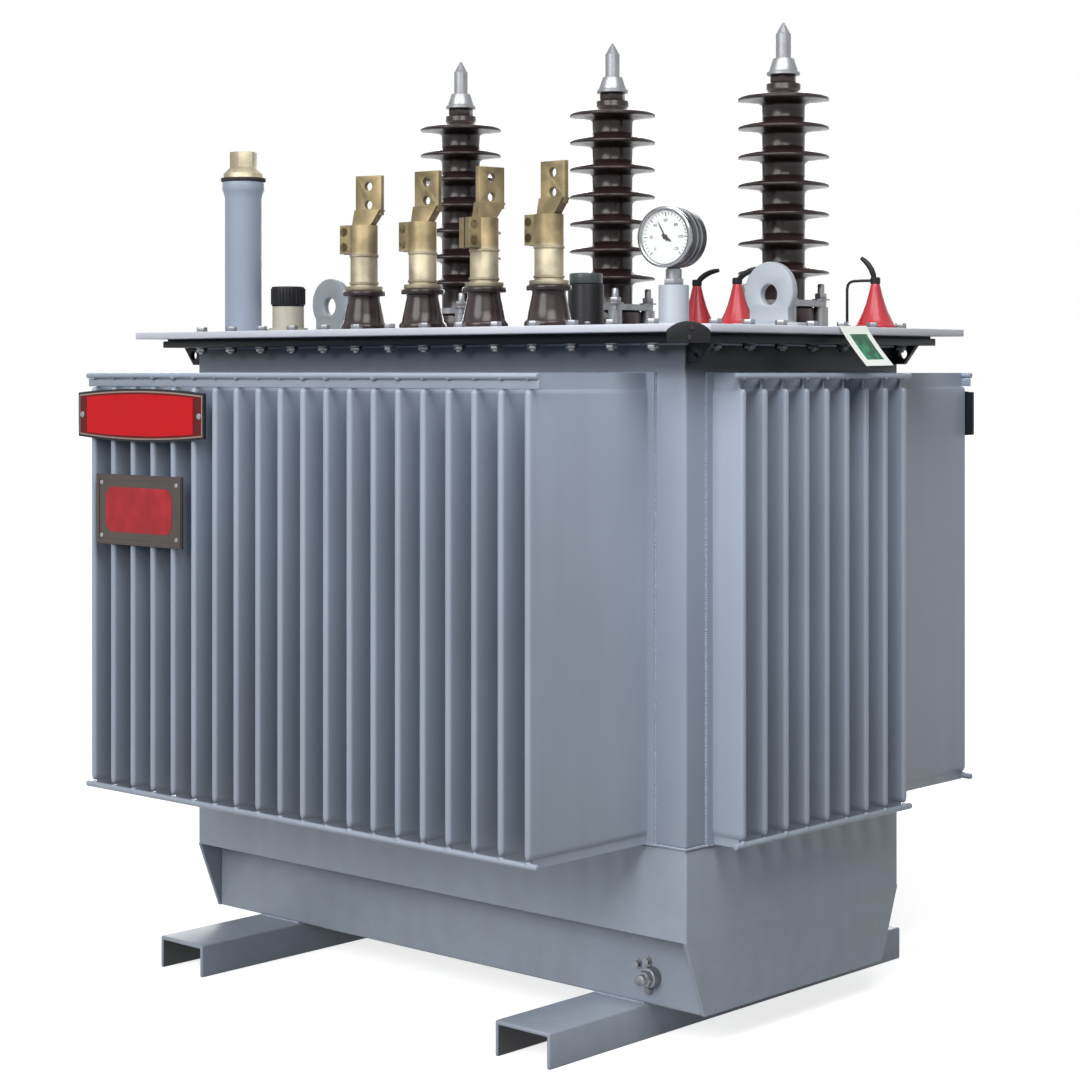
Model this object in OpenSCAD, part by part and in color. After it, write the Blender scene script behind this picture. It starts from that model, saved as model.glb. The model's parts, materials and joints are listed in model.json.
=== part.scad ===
// Oil-filled distribution transformer with corrugated cooling walls on a pair of skids.
// Millimetres. +Z is up, the floor is Z = 0, and the origin is midway between the skids.
// The low-voltage bushings and the plates are on the -Y side, the high-voltage bushings on the +Y side.

/* [Undercarriage] */
// Distance between the centre lines of the two skids
skid_gauge = 670; // [600:5:740]
// Length of each skid, front to back
skid_length = 770; // [680:10:880]
// Width of a skid channel over its flanges
skid_w = 94; // [76:1:110]
// Height of a skid channel
skid_h = 46; // [36:1:60]
// Wall of a skid channel
skid_wall = 6; // [4:0.5:8]

/* [Tank] */
// Length of the smooth tank, along X
tank_l = 956; // [940:2:1020]
// Width of the smooth tank, along Y
tank_w = 472; // [440:2:520]
// Height of the narrow trough under the tank
trough_h = 100; // [70:1:130]
// How far the trough stands back from the long sides
trough_inset = 39; // [28:1:60]
// Thickness of the end plates beside the trough
end_plate_t = 6; // [4:0.5:10]
// Distance of the earthing boss from the right end of the tank
earth_in = 85; // [70:1:110]
// Height of the earthing boss over the skids
earth_z = 38; // [24:1:60]
// Height of the smooth band between the trough and the fins
band_h = 118; // [90:1:150]
// Height of the smooth collar between the fins and the rim
collar_h = 38; // [34:1:60]
// Thickness of the rim around the tank's mouth
rim_t = 10; // [6:0.5:14]
// How far the rim stands out from the tank
rim_overhang = 38; // [30:1:50]

/* [Cooling fins] */
// Distance between two fins
fin_pitch = 45; // [38:0.5:52]
// Least width of bare wall between the outer fins and a corner of the tank
corner_room = 50; // [46:1:70]
// How far the fins of a long side stand off its middle, to the left of one who faces them
fin_shift = 15; // [0:1:20]
// Height of a fin
fin_h = 600; // [500:5:700]
// Thickness of a fin
fin_t = 10; // [7:0.5:14]
// How far the fins on the long sides stand out from the tank
long_side_fin_depth = 225; // [160:1:260]
// How far the fins on the ends stand out from the tank
end_fin_depth = 51; // [40:1:70]
// Height of the pressed seam that closes a fin at its top
seam_h = 20; // [16:1:30]
// Height of the pressed seam at a fin's foot over the rod
foot_seam_rise = 3; // [1:0.5:8]
// Thickness of the pressed seam
seam_t = 4; // [2.5:0.5:6]
// Thickness of the sheet that the fins are folded from
sheet_t = 3; // [1.5:0.5:5]
// Width of the flat sheet beside the outer fins
sheet_margin = 16; // [10:1:20]
// Diameter of the rods that tie the fins together
rod_d = 8; // [6:0.5:11]
// How far a rod runs past the middle of the outer fin
rod_overhang = 16; // [10:1:20]
// Thickness of the strip that covers the top seams of a long side
seam_strip_t = 3; // [2:0.5:5]

/* [Cover] */
// Thickness of the gasket under the cover
gasket_t = 3; // [2:0.5:5]
// How far the gasket stands back from the edge of the rim
gasket_inset = 5; // [2:0.5:8]
// Thickness of the cover plate
cover_t = 10; // [6:0.5:14]
// How far the cover passes the rim at the ends
cover_lip_ends = 26; // [14:1:34]
// How far the cover passes the rim on the long sides
cover_lip_sides = 32; // [14:1:40]
// Cut across the cover's front right corner
cover_corner_cut = 40; // [36:1:46]
// Diameter of the hole in a corner lug
lug_hole_d = 14; // [8:0.5:16]
// Thickness of a corner lug
lug_t = 8; // [5:0.5:12]
// Drop of a corner lug below the rim
lug_drop = 26; // [22:1:32]

/* [Lifting eyes] */
// Distance of a lifting eye from the end of the tank
eye_in = 44; // [38:1:58]
// Radius of a lifting eye's disc
eye_r = 40; // [32:1:46]
// Diameter of the hole in a lifting eye
eye_hole_d = 28; // [20:1:34]
// Thickness of a lifting eye
eye_t = 12; // [8:1:16]
// Height of the middle of the disc over the cover
eye_z = 48; // [46:1:56]
// Length of the foot that a lifting eye is welded to
eye_foot_l = 108; // [90:1:116]
// Width of that foot
eye_foot_w = 30; // [20:1:40]
// Thickness of that foot
eye_foot_t = 6; // [4:0.5:8]

/* [High-voltage bushings] */
// Distance of the outer high-voltage bushings from the end of the tank
hv_in = 156; // [148:1:188]
// Distance of the high-voltage row behind the middle of the cover
hv_y = 178; // [165:1:190]
// Height of the porcelain foot that the clamp holds
hv_foot_h = 33; // [24:1:40]
// Radius of the porcelain foot
hv_foot_r = 44; // [40:0.5:47]
// Radius of the porcelain stem
hv_core_r = 31; // [24:0.5:36]
// Radius of a shed
hv_shed_r = 66; // [52:0.5:72]
// Number of sheds
hv_sheds = 7; // [4:1:8]
// Distance between two sheds
hv_shed_pitch = 41.3; // [34:0.1:46]
// Height of the lowest shed's rim over the cover
hv_first_shed = 84; // [80:1:96]
// Thickness of a shed at its rim
hv_shed_rim = 5; // [3:0.5:8]
// Rise of a shed from its rim to the stem
hv_shed_rise = 13; // [8:0.5:18]
// Drop of a shed from its rim to the stem under it
hv_shed_drop = 8; // [4:0.5:12]
// Radius of the porcelain head over the top shed
hv_head_r = 25; // [20:0.5:30]
// Height of the porcelain head over the top shed's rim
hv_head_h = 20; // [19:1:26]
// Radius of the terminal's washer
hv_washer_r = 24; // [20:0.5:28]
// Radius of the terminal's pin
hv_pin_r = 11; // [6:0.5:12]
// Length of the plain part of the pin
hv_pin_l = 36; // [28:1:44]
// Radius of the circle that the clamp studs stand on
hv_stud_circle = 54; // [54:0.5:56]
// Radius of a clamp stud
hv_stud_r = 5; // [3:0.5:6]
// Height of a clamp stud
hv_stud_h = 66; // [58:1:72]
// Thickness of the clamp ring
hv_ring_t = 9; // [6:0.5:12]
// Width that the clamp ring keeps outside its studs
hv_ring_edge = 9; // [7:0.5:12]

/* [Low-voltage bushings] */
// Distance between two low-voltage bushings
lv_pitch = 122; // [110:1:130]
// Distance of the low-voltage row in front of the middle of the cover
lv_y = 167; // [150:1:180]
// Radius of the porcelain at its foot
lv_foot_r = 34; // [28:0.5:38]
// Radius of the porcelain at its waist
lv_waist_r = 23; // [18:0.5:26]
// Radius of the porcelain's top rim
lv_rim_r = 31; // [28:0.5:34]
// Height of the porcelain
lv_porcelain_h = 59; // [50:1:66]
// Radius of the brass barrel
lv_barrel_r = 20; // [16:0.5:22]
// Height of the brass barrel and clamp over the porcelain
lv_barrel_h = 96; // [90:1:110]
// Height of the terminal flag
lv_flag_h = 58; // [50:1:66]
// Width of the terminal flag
lv_flag_w = 44; // [38:1:48]
// Thickness of the terminal flag
lv_flag_t = 8; // [6:0.5:10]
// How far the flag stands to the side of the barrel
lv_flag_offset = 10; // [8:1:16]
// Diameter of the two bolt holes in a flag
lv_hole_d = 13; // [9:0.5:14]
// Distance between the two bolt holes
lv_hole_pitch = 27; // [24:0.5:30]

/* [Filler] */
// Place of the filler along X, from the left end of the tank
filler_in = 48; // [44:1:52]
// Distance of the filler in front of the middle of the cover
filler_y = 187; // [176:1:192]
// Radius of the filler tube
filler_r = 28; // [22:0.5:30]
// Height of the filler tube
filler_h = 231; // [180:1:280]
// Height of the collar at the top of the tube
filler_collar_h = 16; // [10:1:22]
// Width that the collar adds to the tube's radius
filler_collar_w = 4; // [2:0.5:6]
// Thickness of the seal under the cap
filler_seal_t = 5; // [3:0.5:7]
// Height of the brass cap
filler_cap_h = 40; // [30:1:50]
// Width of the cap's hexagon across its corners
filler_hex_w = 42; // [34:1:44]

/* [Fittings on the cover] */
// Distance of the capped test pocket to the right of the filler
pocket_gap_x = 61; // [52:1:66]
// Distance of the capped test pocket behind the filler
pocket_gap_y = 37; // [34:1:50]
// Radius of the capped test pocket
pocket_r = 24; // [18:0.5:26]
// Height of the test pocket under its cap
pocket_h = 40; // [30:1:50]
// Height of the cap on the test pocket
pocket_cap_h = 30; // [20:1:36]
// Distance of the thermometer from the right end of the tank
gauge_in = 192; // [180:1:200]
// Distance of the thermometer in front of the middle of the cover
gauge_y = 25; // [10:1:30]
// Radius of the thermometer's pocket
gauge_pocket_r = 21; // [16:0.5:23]
// Height of the thermometer's pocket
gauge_pocket_h = 60; // [50:1:66]
// Radius of the thermometer
gauge_r = 42; // [34:0.5:46]
// Depth of the thermometer's case
gauge_depth = 40; // [30:1:48]
// Depth of the bezel in front of the case
gauge_bezel_depth = 8; // [6:0.5:12]
// Width of the bezel's rim
gauge_bezel_w = 5; // [3:0.5:8]
// Height of the thermometer's middle over its pocket
gauge_rise = 65; // [60:1:72]
// Angle that the dial is turned towards the right end
gauge_turn = 10; // [0:1:40]
// Place of the tap changer to the right of the middle of the cover
tap_x = 103; // [90:1:110]
// Width of the tap changer's housing
tap_w = 56; // [46:1:60]
// Height of the tap changer's housing
tap_h = 66; // [50:1:72]
// Height of the tap changer's knob
tap_knob_h = 16; // [10:1:22]
// Radius of the tap changer's knob
tap_knob_r = 24; // [16:0.5:26]
// Radius of a relief valve's red hood at its foot
valve_r = 29; // [22:0.5:31]
// Radius of the hood at its top
valve_top_r = 7; // [5:0.5:9]
// Height of the hood
valve_h = 62; // [52:1:68]
// Height of the black knob over the hood
valve_knob_h = 9; // [6:0.5:12]
// Diameter of the valve's lever
lever_d = 8; // [6:0.5:10]
// Reach of the wire at the side of the hood
lever_arm = 40; // [38:1:46]

/* [Plates] */
// Length of the oval plate
oval_plate_l = 283; // [240:1:290]
// Height of the oval plate at its middle
oval_plate_h = 75; // [60:1:90]
// Bow of the oval plate's long edges
oval_plate_bow = 6; // [3:0.5:10]
// Distance of the oval plate's outer end from the middle of the tank
oval_plate_end = 470; // [456:1:474]
// Distance of the back oval plate's outer end inwards from the front one's
back_plate_in = 12; // [0:1:20]
// Drop of the oval plate's middle under the top of the fins
oval_plate_drop = 60; // [58:1:70]
// Thickness of the oval plate
oval_plate_t = 6; // [4:0.5:8]
// Distance of the rating plate's end inwards from the oval plate's outer end
rating_plate_inset = 41; // [30:1:60]
// Length of the rating plate
rating_plate_l = 193; // [160:1:220]
// Height of the rating plate
rating_plate_h = 100; // [80:1:120]
// Drop of the rating plate's middle under the top of the fins
rating_plate_drop = 195; // [180:1:230]
// Thickness of the rating plate
rating_plate_t = 4; // [2:0.5:6]

/* [Hidden] */
$fn = 64;

paint = [0.55, 0.60, 0.66];
dark_paint = [0.30, 0.33, 0.37];
porcelain = [0.20, 0.13, 0.12];
brass = [0.72, 0.60, 0.34];
steel = [0.72, 0.73, 0.74];
black = [0.08, 0.08, 0.09];
cream = [0.80, 0.77, 0.68];
red = [0.72, 0.16, 0.16];

// Places of the relief valves: [distance from the right end of the tank, y]
valve_places = [[228, 71], [143, 54], [-6, 172]];
// Turns of the lever wires on the relief valves
wire_turns = [313, 313, 20];
// Turns of the lever handles on the relief valves
handle_turns = [200, 200, 20];
// Leans of the lever handles from upright
handle_leans = [58, 58, 27];
// Turns of the low-voltage terminals on their bushings
lv_turns = [14, 6, 80, 0];

// Room between two pieces that lie against each other on a curved face
seat_gap = 0.3;
// Cut that runs clear of both faces of what it cuts
past = 1;

// Levels
tank_z = skid_h + trough_h;
fin_z = tank_z + band_h;
fin_top_z = fin_z + fin_h;
rim_z = fin_top_z + collar_h;
gasket_z = rim_z + rim_t;
cover_z = gasket_z + gasket_t;
top_z = cover_z + cover_t;

// Outlines seen from above
rim_l = tank_l + 2 * rim_overhang;
rim_w = tank_w + 2 * rim_overhang;
cover_l = rim_l + 2 * cover_lip_ends;
cover_w = rim_w + 2 * cover_lip_sides;
fin_tip_y = tank_w / 2 + long_side_fin_depth;

// Height of the pressed seam at a fin's foot
foot_seam_h = rod_d + foot_seam_rise;

// Distance between two high-voltage bushings
hv_pitch = tank_l / 2 - hv_in;
// Distance of a lifting eye from the middle of the cover
eye_x = tank_l / 2 - eye_in;

// Places on the cover: [x, y]
filler_at = [filler_in - tank_l / 2, -filler_y];
pocket_at = filler_at + [pocket_gap_x, pocket_gap_y];
gauge_at = [tank_l / 2 - gauge_in, -gauge_y];
tap_at = [tap_x, 0];
valve_at = [for (place = valve_places) [tank_l / 2 - place[0], place[1]]];

module skid() {
    color(paint)
    difference() {
        translate([-skid_w / 2, -skid_length / 2, 0]) cube([skid_w, skid_length, skid_h]);
        translate([-skid_w / 2 + skid_wall, -skid_length / 2 - past, -past])
            cube([skid_w - 2 * skid_wall, skid_length + 2 * past, skid_h - skid_wall + past]);
    }
}

module left_skid() translate([-skid_gauge / 2, 0, 0]) skid();
module right_skid() translate([skid_gauge / 2, 0, 0]) skid();

// Smooth band over a narrower trough that stands on the skids
module tank_base() {
    color(paint) {
        translate([-tank_l / 2, -tank_w / 2, tank_z]) cube([tank_l, tank_w, band_h]);
        translate([-tank_l / 2 + end_plate_t, -tank_w / 2 + trough_inset, skid_h])
            cube([tank_l - 2 * end_plate_t, tank_w - 2 * trough_inset, trough_h]);
    }
}

// Plate that closes one end of the trough, its edges running in to the skids
module base_end_plate() {
    translate([end_plate_t, 0, skid_h])
        rotate([90, 0, -90])
        linear_extrude(end_plate_t)
        polygon([
            [-tank_w / 2 + trough_inset, 0],
            [tank_w / 2 - trough_inset, 0],
            [tank_w / 2, trough_h],
            [-tank_w / 2, trough_h]
        ]);
}

module base_end_plates() {
    color(paint) {
        translate([-tank_l / 2, 0, 0]) base_end_plate();
        translate([tank_l / 2 - end_plate_t, 0, 0]) base_end_plate();
    }
}

module tank_body() {
    color(paint)
    translate([-tank_l / 2, -tank_w / 2, fin_z]) cube([tank_l, tank_w, fin_h + collar_h]);
}

// Outline of one fin seen from above, reaching from the sheet towards -Y
module fin_outline(depth, thickness) {
    translate([-thickness / 2, -depth + thickness / 2]) square([thickness, depth - thickness / 2]);
    translate([0, -depth + thickness / 2]) circle(d = thickness);
}

// Number of fins that a wall of this width has room for
function fins_on(width) = floor((width - 2 * corner_room) / fin_pitch) + 1;

// Row of fins folded from one sheet, standing on the wall y = 0 and facing -Y
module fin_wall(width, depth) {
    count = fins_on(width);
    field = (count - 1) * fin_pitch;
    color(paint) {
        translate([-field / 2 - sheet_margin, -sheet_t, 0])
            cube([field + 2 * sheet_margin, sheet_t, fin_h]);
        for (i = [0 : count - 1])
            translate([i * fin_pitch - field / 2, 0, 0]) {
                translate([0, 0, foot_seam_h])
                    linear_extrude(fin_h - seam_h - foot_seam_h) fin_outline(depth, fin_t);
                linear_extrude(fin_h) fin_outline(depth - rod_d - seat_gap, seam_t);
            }
    }
}

// The two rods that tie a row of fins together, flush with the tips
module fin_rods(width, depth) {
    length = (fins_on(width) - 1) * fin_pitch + 2 * rod_overhang;
    color(paint)
    for (z = [rod_d / 2, fin_h - rod_d / 2])
        translate([-length / 2, -depth + rod_d / 2, z])
            rotate([0, 90, 0]) cylinder(d = rod_d, h = length);
}

// Strip between the top rod and the full part of the fins, in front of the pressed seams
module seam_strip(width, depth) {
    length = (fins_on(width) - 1) * fin_pitch + 2 * rod_overhang;
    color(paint)
    translate([-length / 2, -depth + rod_d - seam_strip_t, fin_h - seam_h + seat_gap])
        cube([length, seam_strip_t, seam_h - rod_d - 2 * seat_gap]);
}

// Rods and strip of a long side
module long_side_ties() {
    fin_rods(tank_l, long_side_fin_depth);
    seam_strip(tank_l, long_side_fin_depth);
}

// Puts a piece that faces -Y on one of the four walls
module on_front_wall() translate([0, -tank_w / 2, fin_z]) children();
module on_back_wall() rotate([0, 0, 180]) on_front_wall() children();
module on_right_wall() rotate([0, 0, 90]) translate([0, -tank_l / 2, fin_z]) children();
module on_left_wall() rotate([0, 0, 180]) on_right_wall() children();

// Moves the fins of a long side off its middle
module off_middle() translate([-fin_shift, 0, 0]) children();

module front_fins() on_front_wall() off_middle() fin_wall(tank_l, long_side_fin_depth);
module back_fins() on_back_wall() off_middle() fin_wall(tank_l, long_side_fin_depth);
module left_fins() on_left_wall() fin_wall(tank_w, end_fin_depth);
module right_fins() on_right_wall() fin_wall(tank_w, end_fin_depth);
module front_rods() on_front_wall() off_middle() long_side_ties();
module back_rods() on_back_wall() off_middle() long_side_ties();
module left_rods() on_left_wall() fin_rods(tank_w, end_fin_depth);
module right_rods() on_right_wall() fin_rods(tank_w, end_fin_depth);

module tank_rim() {
    color(dark_paint)
    translate([-rim_l / 2, -rim_w / 2, rim_z]) cube([rim_l, rim_w, rim_t]);
}

// Lug with a lashing hole, standing out from a tank end under the rim
module corner_lug() {
    foot = rim_overhang * 0.45;
    hole_at = [rim_overhang * 0.42, -lug_drop * 0.44];
    translate([0, lug_t / 2, 0])
        rotate([90, 0, 0])
        linear_extrude(lug_t)
        difference() {
            polygon([[0, -lug_drop], [foot, -lug_drop], [rim_overhang, 0], [0, 0]]);
            translate(hole_at) circle(d = lug_hole_d);
        }
}

module corner_lugs() {
    color(dark_paint)
    for (side = [-1, 1])
        for (turn = [0, 180])
            rotate([0, 0, turn])
                translate([tank_l / 2, side * (tank_w / 2 - lug_t), rim_z]) corner_lug();
}

module gasket() {
    color(black)
    translate([-rim_l / 2 + gasket_inset, -rim_w / 2 + gasket_inset, gasket_z])
        cube([rim_l - 2 * gasket_inset, rim_w - 2 * gasket_inset, gasket_t]);
}

module cover_plate() {
    color(paint)
    translate([0, 0, cover_z])
        linear_extrude(cover_t)
        polygon([
            [-cover_l / 2, -cover_w / 2],
            [cover_l / 2 - cover_corner_cut, -cover_w / 2],
            [cover_l / 2, -cover_w / 2 + cover_corner_cut],
            [cover_l / 2, cover_w / 2],
            [-cover_l / 2, cover_w / 2]
        ]);
}

// Round-topped bonding plate on the cut corner of the cover
module corner_bond() {
    bond_t = 5;
    bond_w = cover_corner_cut * 1.35;
    bond_r = bond_w * 0.69;
    bond_drop = 14;
    bond_rise = 3;
    top = cover_t + bond_rise;
    color(black)
    translate([(cover_l - cover_corner_cut) / 2, (cover_corner_cut - cover_w) / 2, cover_z])
        rotate([0, 0, 45])
        rotate([90, 0, 0])
        translate([0, 0, seat_gap])
        linear_extrude(bond_t)
        intersection() {
            translate([0, top - bond_r]) circle(r = bond_r);
            translate([-bond_w / 2, -bond_drop]) square([bond_w, bond_drop + top]);
        }
}

// Earthing boss with its bolt on the front of the trough, over the right skid
module earth_terminal() {
    boss_r = 13;
    boss_h = 14;
    bolt_r = 6;
    bolt_h = 28;
    color(steel)
    translate([tank_l / 2 - earth_in, -tank_w / 2 + trough_inset, skid_h + earth_z])
        rotate([90, 0, 0]) {
            cylinder(r = boss_r, h = boss_h);
            cylinder(r = bolt_r, h = bolt_h);
        }
}

module lifting_eye() {
    hole_drop = 4;
    root_w = eye_r * 1.6;
    root_h = eye_z - eye_r * 0.6;
    color(paint)
    translate([0, 0, top_z]) {
        translate([-eye_foot_l / 2, -eye_foot_w / 2, 0]) cube([eye_foot_l, eye_foot_w, eye_foot_t]);
        translate([0, eye_t / 2, 0])
            rotate([90, 0, 0])
            linear_extrude(eye_t)
            difference() {
                union() {
                    translate([0, eye_z]) circle(r = eye_r);
                    translate([-root_w / 2, 0]) square([root_w, root_h]);
                }
                translate([0, eye_z - hole_drop]) circle(d = eye_hole_d);
            }
    }
}

module left_lifting_eye() translate([-eye_x, 0, 0]) lifting_eye();
module right_lifting_eye() translate([eye_x, 0, 0]) lifting_eye();

// Place of one bushing in a row that is centred on x = 0
function row_x(i, count, pitch) = (i - (count - 1) / 2) * pitch;
function hv_at(i) = [row_x(i, 3, hv_pitch), hv_y, top_z];
function lv_at(i) = [row_x(i, 4, lv_pitch), -lv_y, top_z];

hv_top = hv_first_shed + (hv_sheds - 1) * hv_shed_pitch + hv_head_h;
hv_seat = hv_foot_h + seat_gap;

// Half outline of one shed, from the stem under it to what stands over it: [radius, height]
function shed(z, over_r, round = 3, fillet = 5) = [
    [hv_core_r, z - hv_shed_rim - hv_shed_drop],
    [hv_core_r + fillet, z - hv_shed_rim - hv_shed_drop * 0.4],
    [hv_shed_r - round, z - hv_shed_rim],
    [hv_shed_r, z - hv_shed_rim * 0.6],
    [hv_shed_r, z - hv_shed_rim * 0.2],
    [hv_shed_r - round, z + 1],
    [over_r + fillet, z + hv_shed_rise * 0.6],
    [over_r, z + hv_shed_rise]
];

module hv_porcelain() {
    last = hv_sheds - 1;
    sheds = [
        for (i = [0 : last]) each shed(hv_first_shed + i * hv_shed_pitch, i < last ? hv_core_r : hv_head_r)
    ];
    edge = 2;
    color(porcelain)
    rotate_extrude()
        polygon(concat(
            [[0, 0], [hv_foot_r, 0], [hv_foot_r, hv_foot_h], [hv_core_r, hv_foot_h]],
            sheds,
            [[hv_head_r, hv_top - edge], [hv_head_r - edge, hv_top], [0, hv_top]]
        ));
}

// Nut, washer, collar and plain pin with a pointed end
module hv_terminal() {
    nut_r = 20;
    nut_t = 12;
    washer_t = 5;
    collar_h = 19;
    collar_r = hv_washer_r - 3;
    point_h = 16;
    point_r = 1.5;
    washer_z = nut_t;
    collar_z = washer_z + washer_t;
    pin_z = collar_z + collar_h;
    color(steel)
    translate([0, 0, hv_top]) {
        cylinder(r = nut_r, h = nut_t, $fn = 6);
        translate([0, 0, washer_z]) cylinder(r = hv_washer_r, h = washer_t);
        translate([0, 0, collar_z]) cylinder(r1 = collar_r, r2 = hv_pin_r + 5, h = collar_h);
        translate([0, 0, pin_z]) cylinder(r = hv_pin_r, h = hv_pin_l);
        translate([0, 0, pin_z + hv_pin_l]) cylinder(r1 = hv_pin_r, r2 = point_r, h = point_h);
    }
}

// Ring on the porcelain foot, held down by four studs and nuts
module hv_clamp() {
    nut_r = 9;
    nut_t = 9;
    ring_r = hv_stud_circle + hv_ring_edge;
    color(steel) {
        translate([0, 0, hv_seat])
            difference() {
                cylinder(r = ring_r, h = hv_ring_t);
                translate([0, 0, -past]) cylinder(r = hv_core_r + 1, h = hv_ring_t + 2 * past);
            }
        for (a = [45 : 90 : 315])
            rotate([0, 0, a])
            translate([hv_stud_circle, 0, 0]) {
                cylinder(r = hv_stud_r, h = hv_stud_h);
                translate([0, 0, hv_seat + hv_ring_t]) cylinder(r = nut_r, h = nut_t, $fn = 6);
            }
    }
}

module hv_bushing(i) translate(hv_at(i)) hv_porcelain();
module hv_terminal_at(i) translate(hv_at(i)) hv_terminal();
module hv_clamps() for (i = [0 : 2]) translate(hv_at(i)) hv_clamp();

module lv_porcelain() {
    rim_t = 8;
    foot_t = 8;
    edge = 3;
    under_rim = lv_porcelain_h - rim_t;
    color(porcelain)
    rotate_extrude()
        polygon([
            [0, 0],
            [lv_foot_r, 0],
            [lv_foot_r, foot_t],
            [lv_foot_r - edge, foot_t + edge],
            [lv_waist_r + edge, under_rim - 4 * edge],
            [lv_waist_r, under_rim - edge],
            [lv_waist_r, under_rim],
            [lv_rim_r, under_rim],
            [lv_rim_r, lv_porcelain_h - edge],
            [lv_rim_r - edge, lv_porcelain_h],
            [0, lv_porcelain_h]
        ]);
}

// Brass barrel with a split clamp, a neck that widens upwards and an upright flag with two bolt holes
module lv_terminal() {
    washer_t = 6;
    washer_r = lv_rim_r - 4;
    clamp_h = 42;
    clamp_w = 26;
    ear_l = 14;
    neck_h = 22;
    neck_t = lv_flag_t * 2;
    neck_r = lv_barrel_r - 4;
    flag_z = lv_barrel_h + neck_h - lv_flag_t;
    flag_x = lv_flag_offset - lv_flag_w / 2;
    color(brass)
    translate([0, 0, lv_porcelain_h]) {
        cylinder(r = washer_r, h = washer_t);
        cylinder(r = lv_barrel_r, h = lv_barrel_h);
        translate([-lv_barrel_r - ear_l, -clamp_w / 2, lv_barrel_h - clamp_h])
            cube([lv_barrel_r + ear_l, clamp_w, clamp_h]);
        translate([0, neck_t / 2, lv_barrel_h])
            rotate([90, 0, 0])
            linear_extrude(neck_t)
            polygon([[-neck_r, 0], [neck_r, 0], [flag_x + lv_flag_w, neck_h], [flag_x, neck_h]]);
        difference() {
            translate([flag_x, -lv_flag_t / 2, flag_z]) cube([lv_flag_w, lv_flag_t, lv_flag_h]);
            for (z = [-lv_hole_pitch / 2, lv_hole_pitch / 2])
                translate([lv_flag_offset, lv_flag_t / 2 + past, flag_z + lv_flag_h / 2 + z])
                    rotate([90, 0, 0]) cylinder(d = lv_hole_d, h = lv_flag_t + 2 * past);
        }
    }
}

module lv_bushing(i) translate(lv_at(i)) lv_porcelain();
module lv_terminal_at(i) translate(lv_at(i)) rotate([0, 0, lv_turns[i]]) lv_terminal();

filler_collar_r = filler_r + filler_collar_w;

module filler_tube() {
    taper_h = 10;
    edge = 1.5;
    taper_z = filler_h - filler_collar_h - taper_h;
    color(paint)
    translate([filler_at[0], filler_at[1], top_z])
        rotate_extrude()
        polygon([
            [0, 0],
            [filler_r, 0],
            [filler_r, taper_z],
            [filler_collar_r - edge, taper_z + taper_h],
            [filler_collar_r, taper_z + taper_h + 2 * edge],
            [filler_collar_r, filler_h],
            [0, filler_h]
        ]);
}

// Seal, flange, cone and hexagon
module filler_cap() {
    flange_t = 7;
    flange_r = filler_collar_r - 2;
    seal_r = filler_collar_r + 1.5;
    cone_h = 9;
    hex_r = filler_hex_w / 2;
    color(brass)
    translate([filler_at[0], filler_at[1], top_z + filler_h]) {
        cylinder(r = seal_r, h = filler_seal_t);
        translate([0, 0, filler_seal_t]) cylinder(r = flange_r, h = flange_t);
        translate([0, 0, filler_seal_t + flange_t]) cylinder(r1 = flange_r, r2 = hex_r, h = cone_h);
        cylinder(r = hex_r, h = filler_seal_t + filler_cap_h, $fn = 6);
    }
}

module test_pocket() {
    foot_w = 6;
    foot_t = 7;
    color(cream)
    translate([pocket_at[0], pocket_at[1], top_z]) {
        cylinder(r = pocket_r, h = pocket_h);
        cylinder(r = pocket_r + foot_w, h = foot_t);
    }
}

module test_pocket_cap() {
    color(black)
    translate([pocket_at[0], pocket_at[1], top_z + pocket_h])
        cylinder(r = pocket_r + 1, h = pocket_cap_h);
}

module thermometer_pocket() {
    foot_w = 7;
    foot_t = 9;
    color(cream)
    translate([gauge_at[0], gauge_at[1], top_z]) {
        cylinder(r = gauge_pocket_r, h = gauge_pocket_h);
        cylinder(r = gauge_pocket_r + foot_w, h = foot_t);
    }
}

// Moves a piece that faces -Y to the middle of the thermometer
module at_gauge() {
    translate([gauge_at[0], gauge_at[1], top_z + gauge_pocket_h + gauge_rise])
        rotate([0, 0, gauge_turn])
        children();
}

module thermometer_case() {
    stem_r = 9;
    color(dark_paint)
    at_gauge() {
        translate([0, gauge_depth / 2, 0]) rotate([90, 0, 0]) cylinder(r = gauge_r - 1, h = gauge_depth);
        translate([0, 0, -gauge_rise]) cylinder(r = stem_r, h = gauge_rise);
    }
}

module thermometer_bezel() {
    face_t = 2;
    color(steel)
    at_gauge()
        translate([0, -gauge_depth / 2, 0])
        rotate([90, 0, 0])
        difference() {
            cylinder(r = gauge_r, h = gauge_bezel_depth);
            translate([0, 0, face_t]) cylinder(r = gauge_r - gauge_bezel_w, h = gauge_bezel_depth);
        }
}

module tap_changer() {
    foot_t = 8;
    foot_w = 2;
    color(black)
    translate([tap_at[0], tap_at[1], top_z]) {
        translate([-tap_w / 2, -tap_w / 2, 0]) cube([tap_w, tap_w, foot_t]);
        cylinder(r = tap_w / 2 - foot_w, h = tap_h);
    }
}

module tap_changer_knob() {
    color(steel)
    translate([tap_at[0], tap_at[1], top_z + tap_h])
        cylinder(r = tap_knob_r, h = tap_knob_h);
}

// Red conical hood
module relief_valve(i) {
    foot_t = 5;
    edge = 2;
    color(red)
    translate([valve_at[i][0], valve_at[i][1], top_z]) {
        cylinder(r = valve_r, h = foot_t);
        translate([0, 0, foot_t]) cylinder(r1 = valve_r - edge, r2 = valve_top_r, h = valve_h - foot_t);
    }
}

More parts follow.
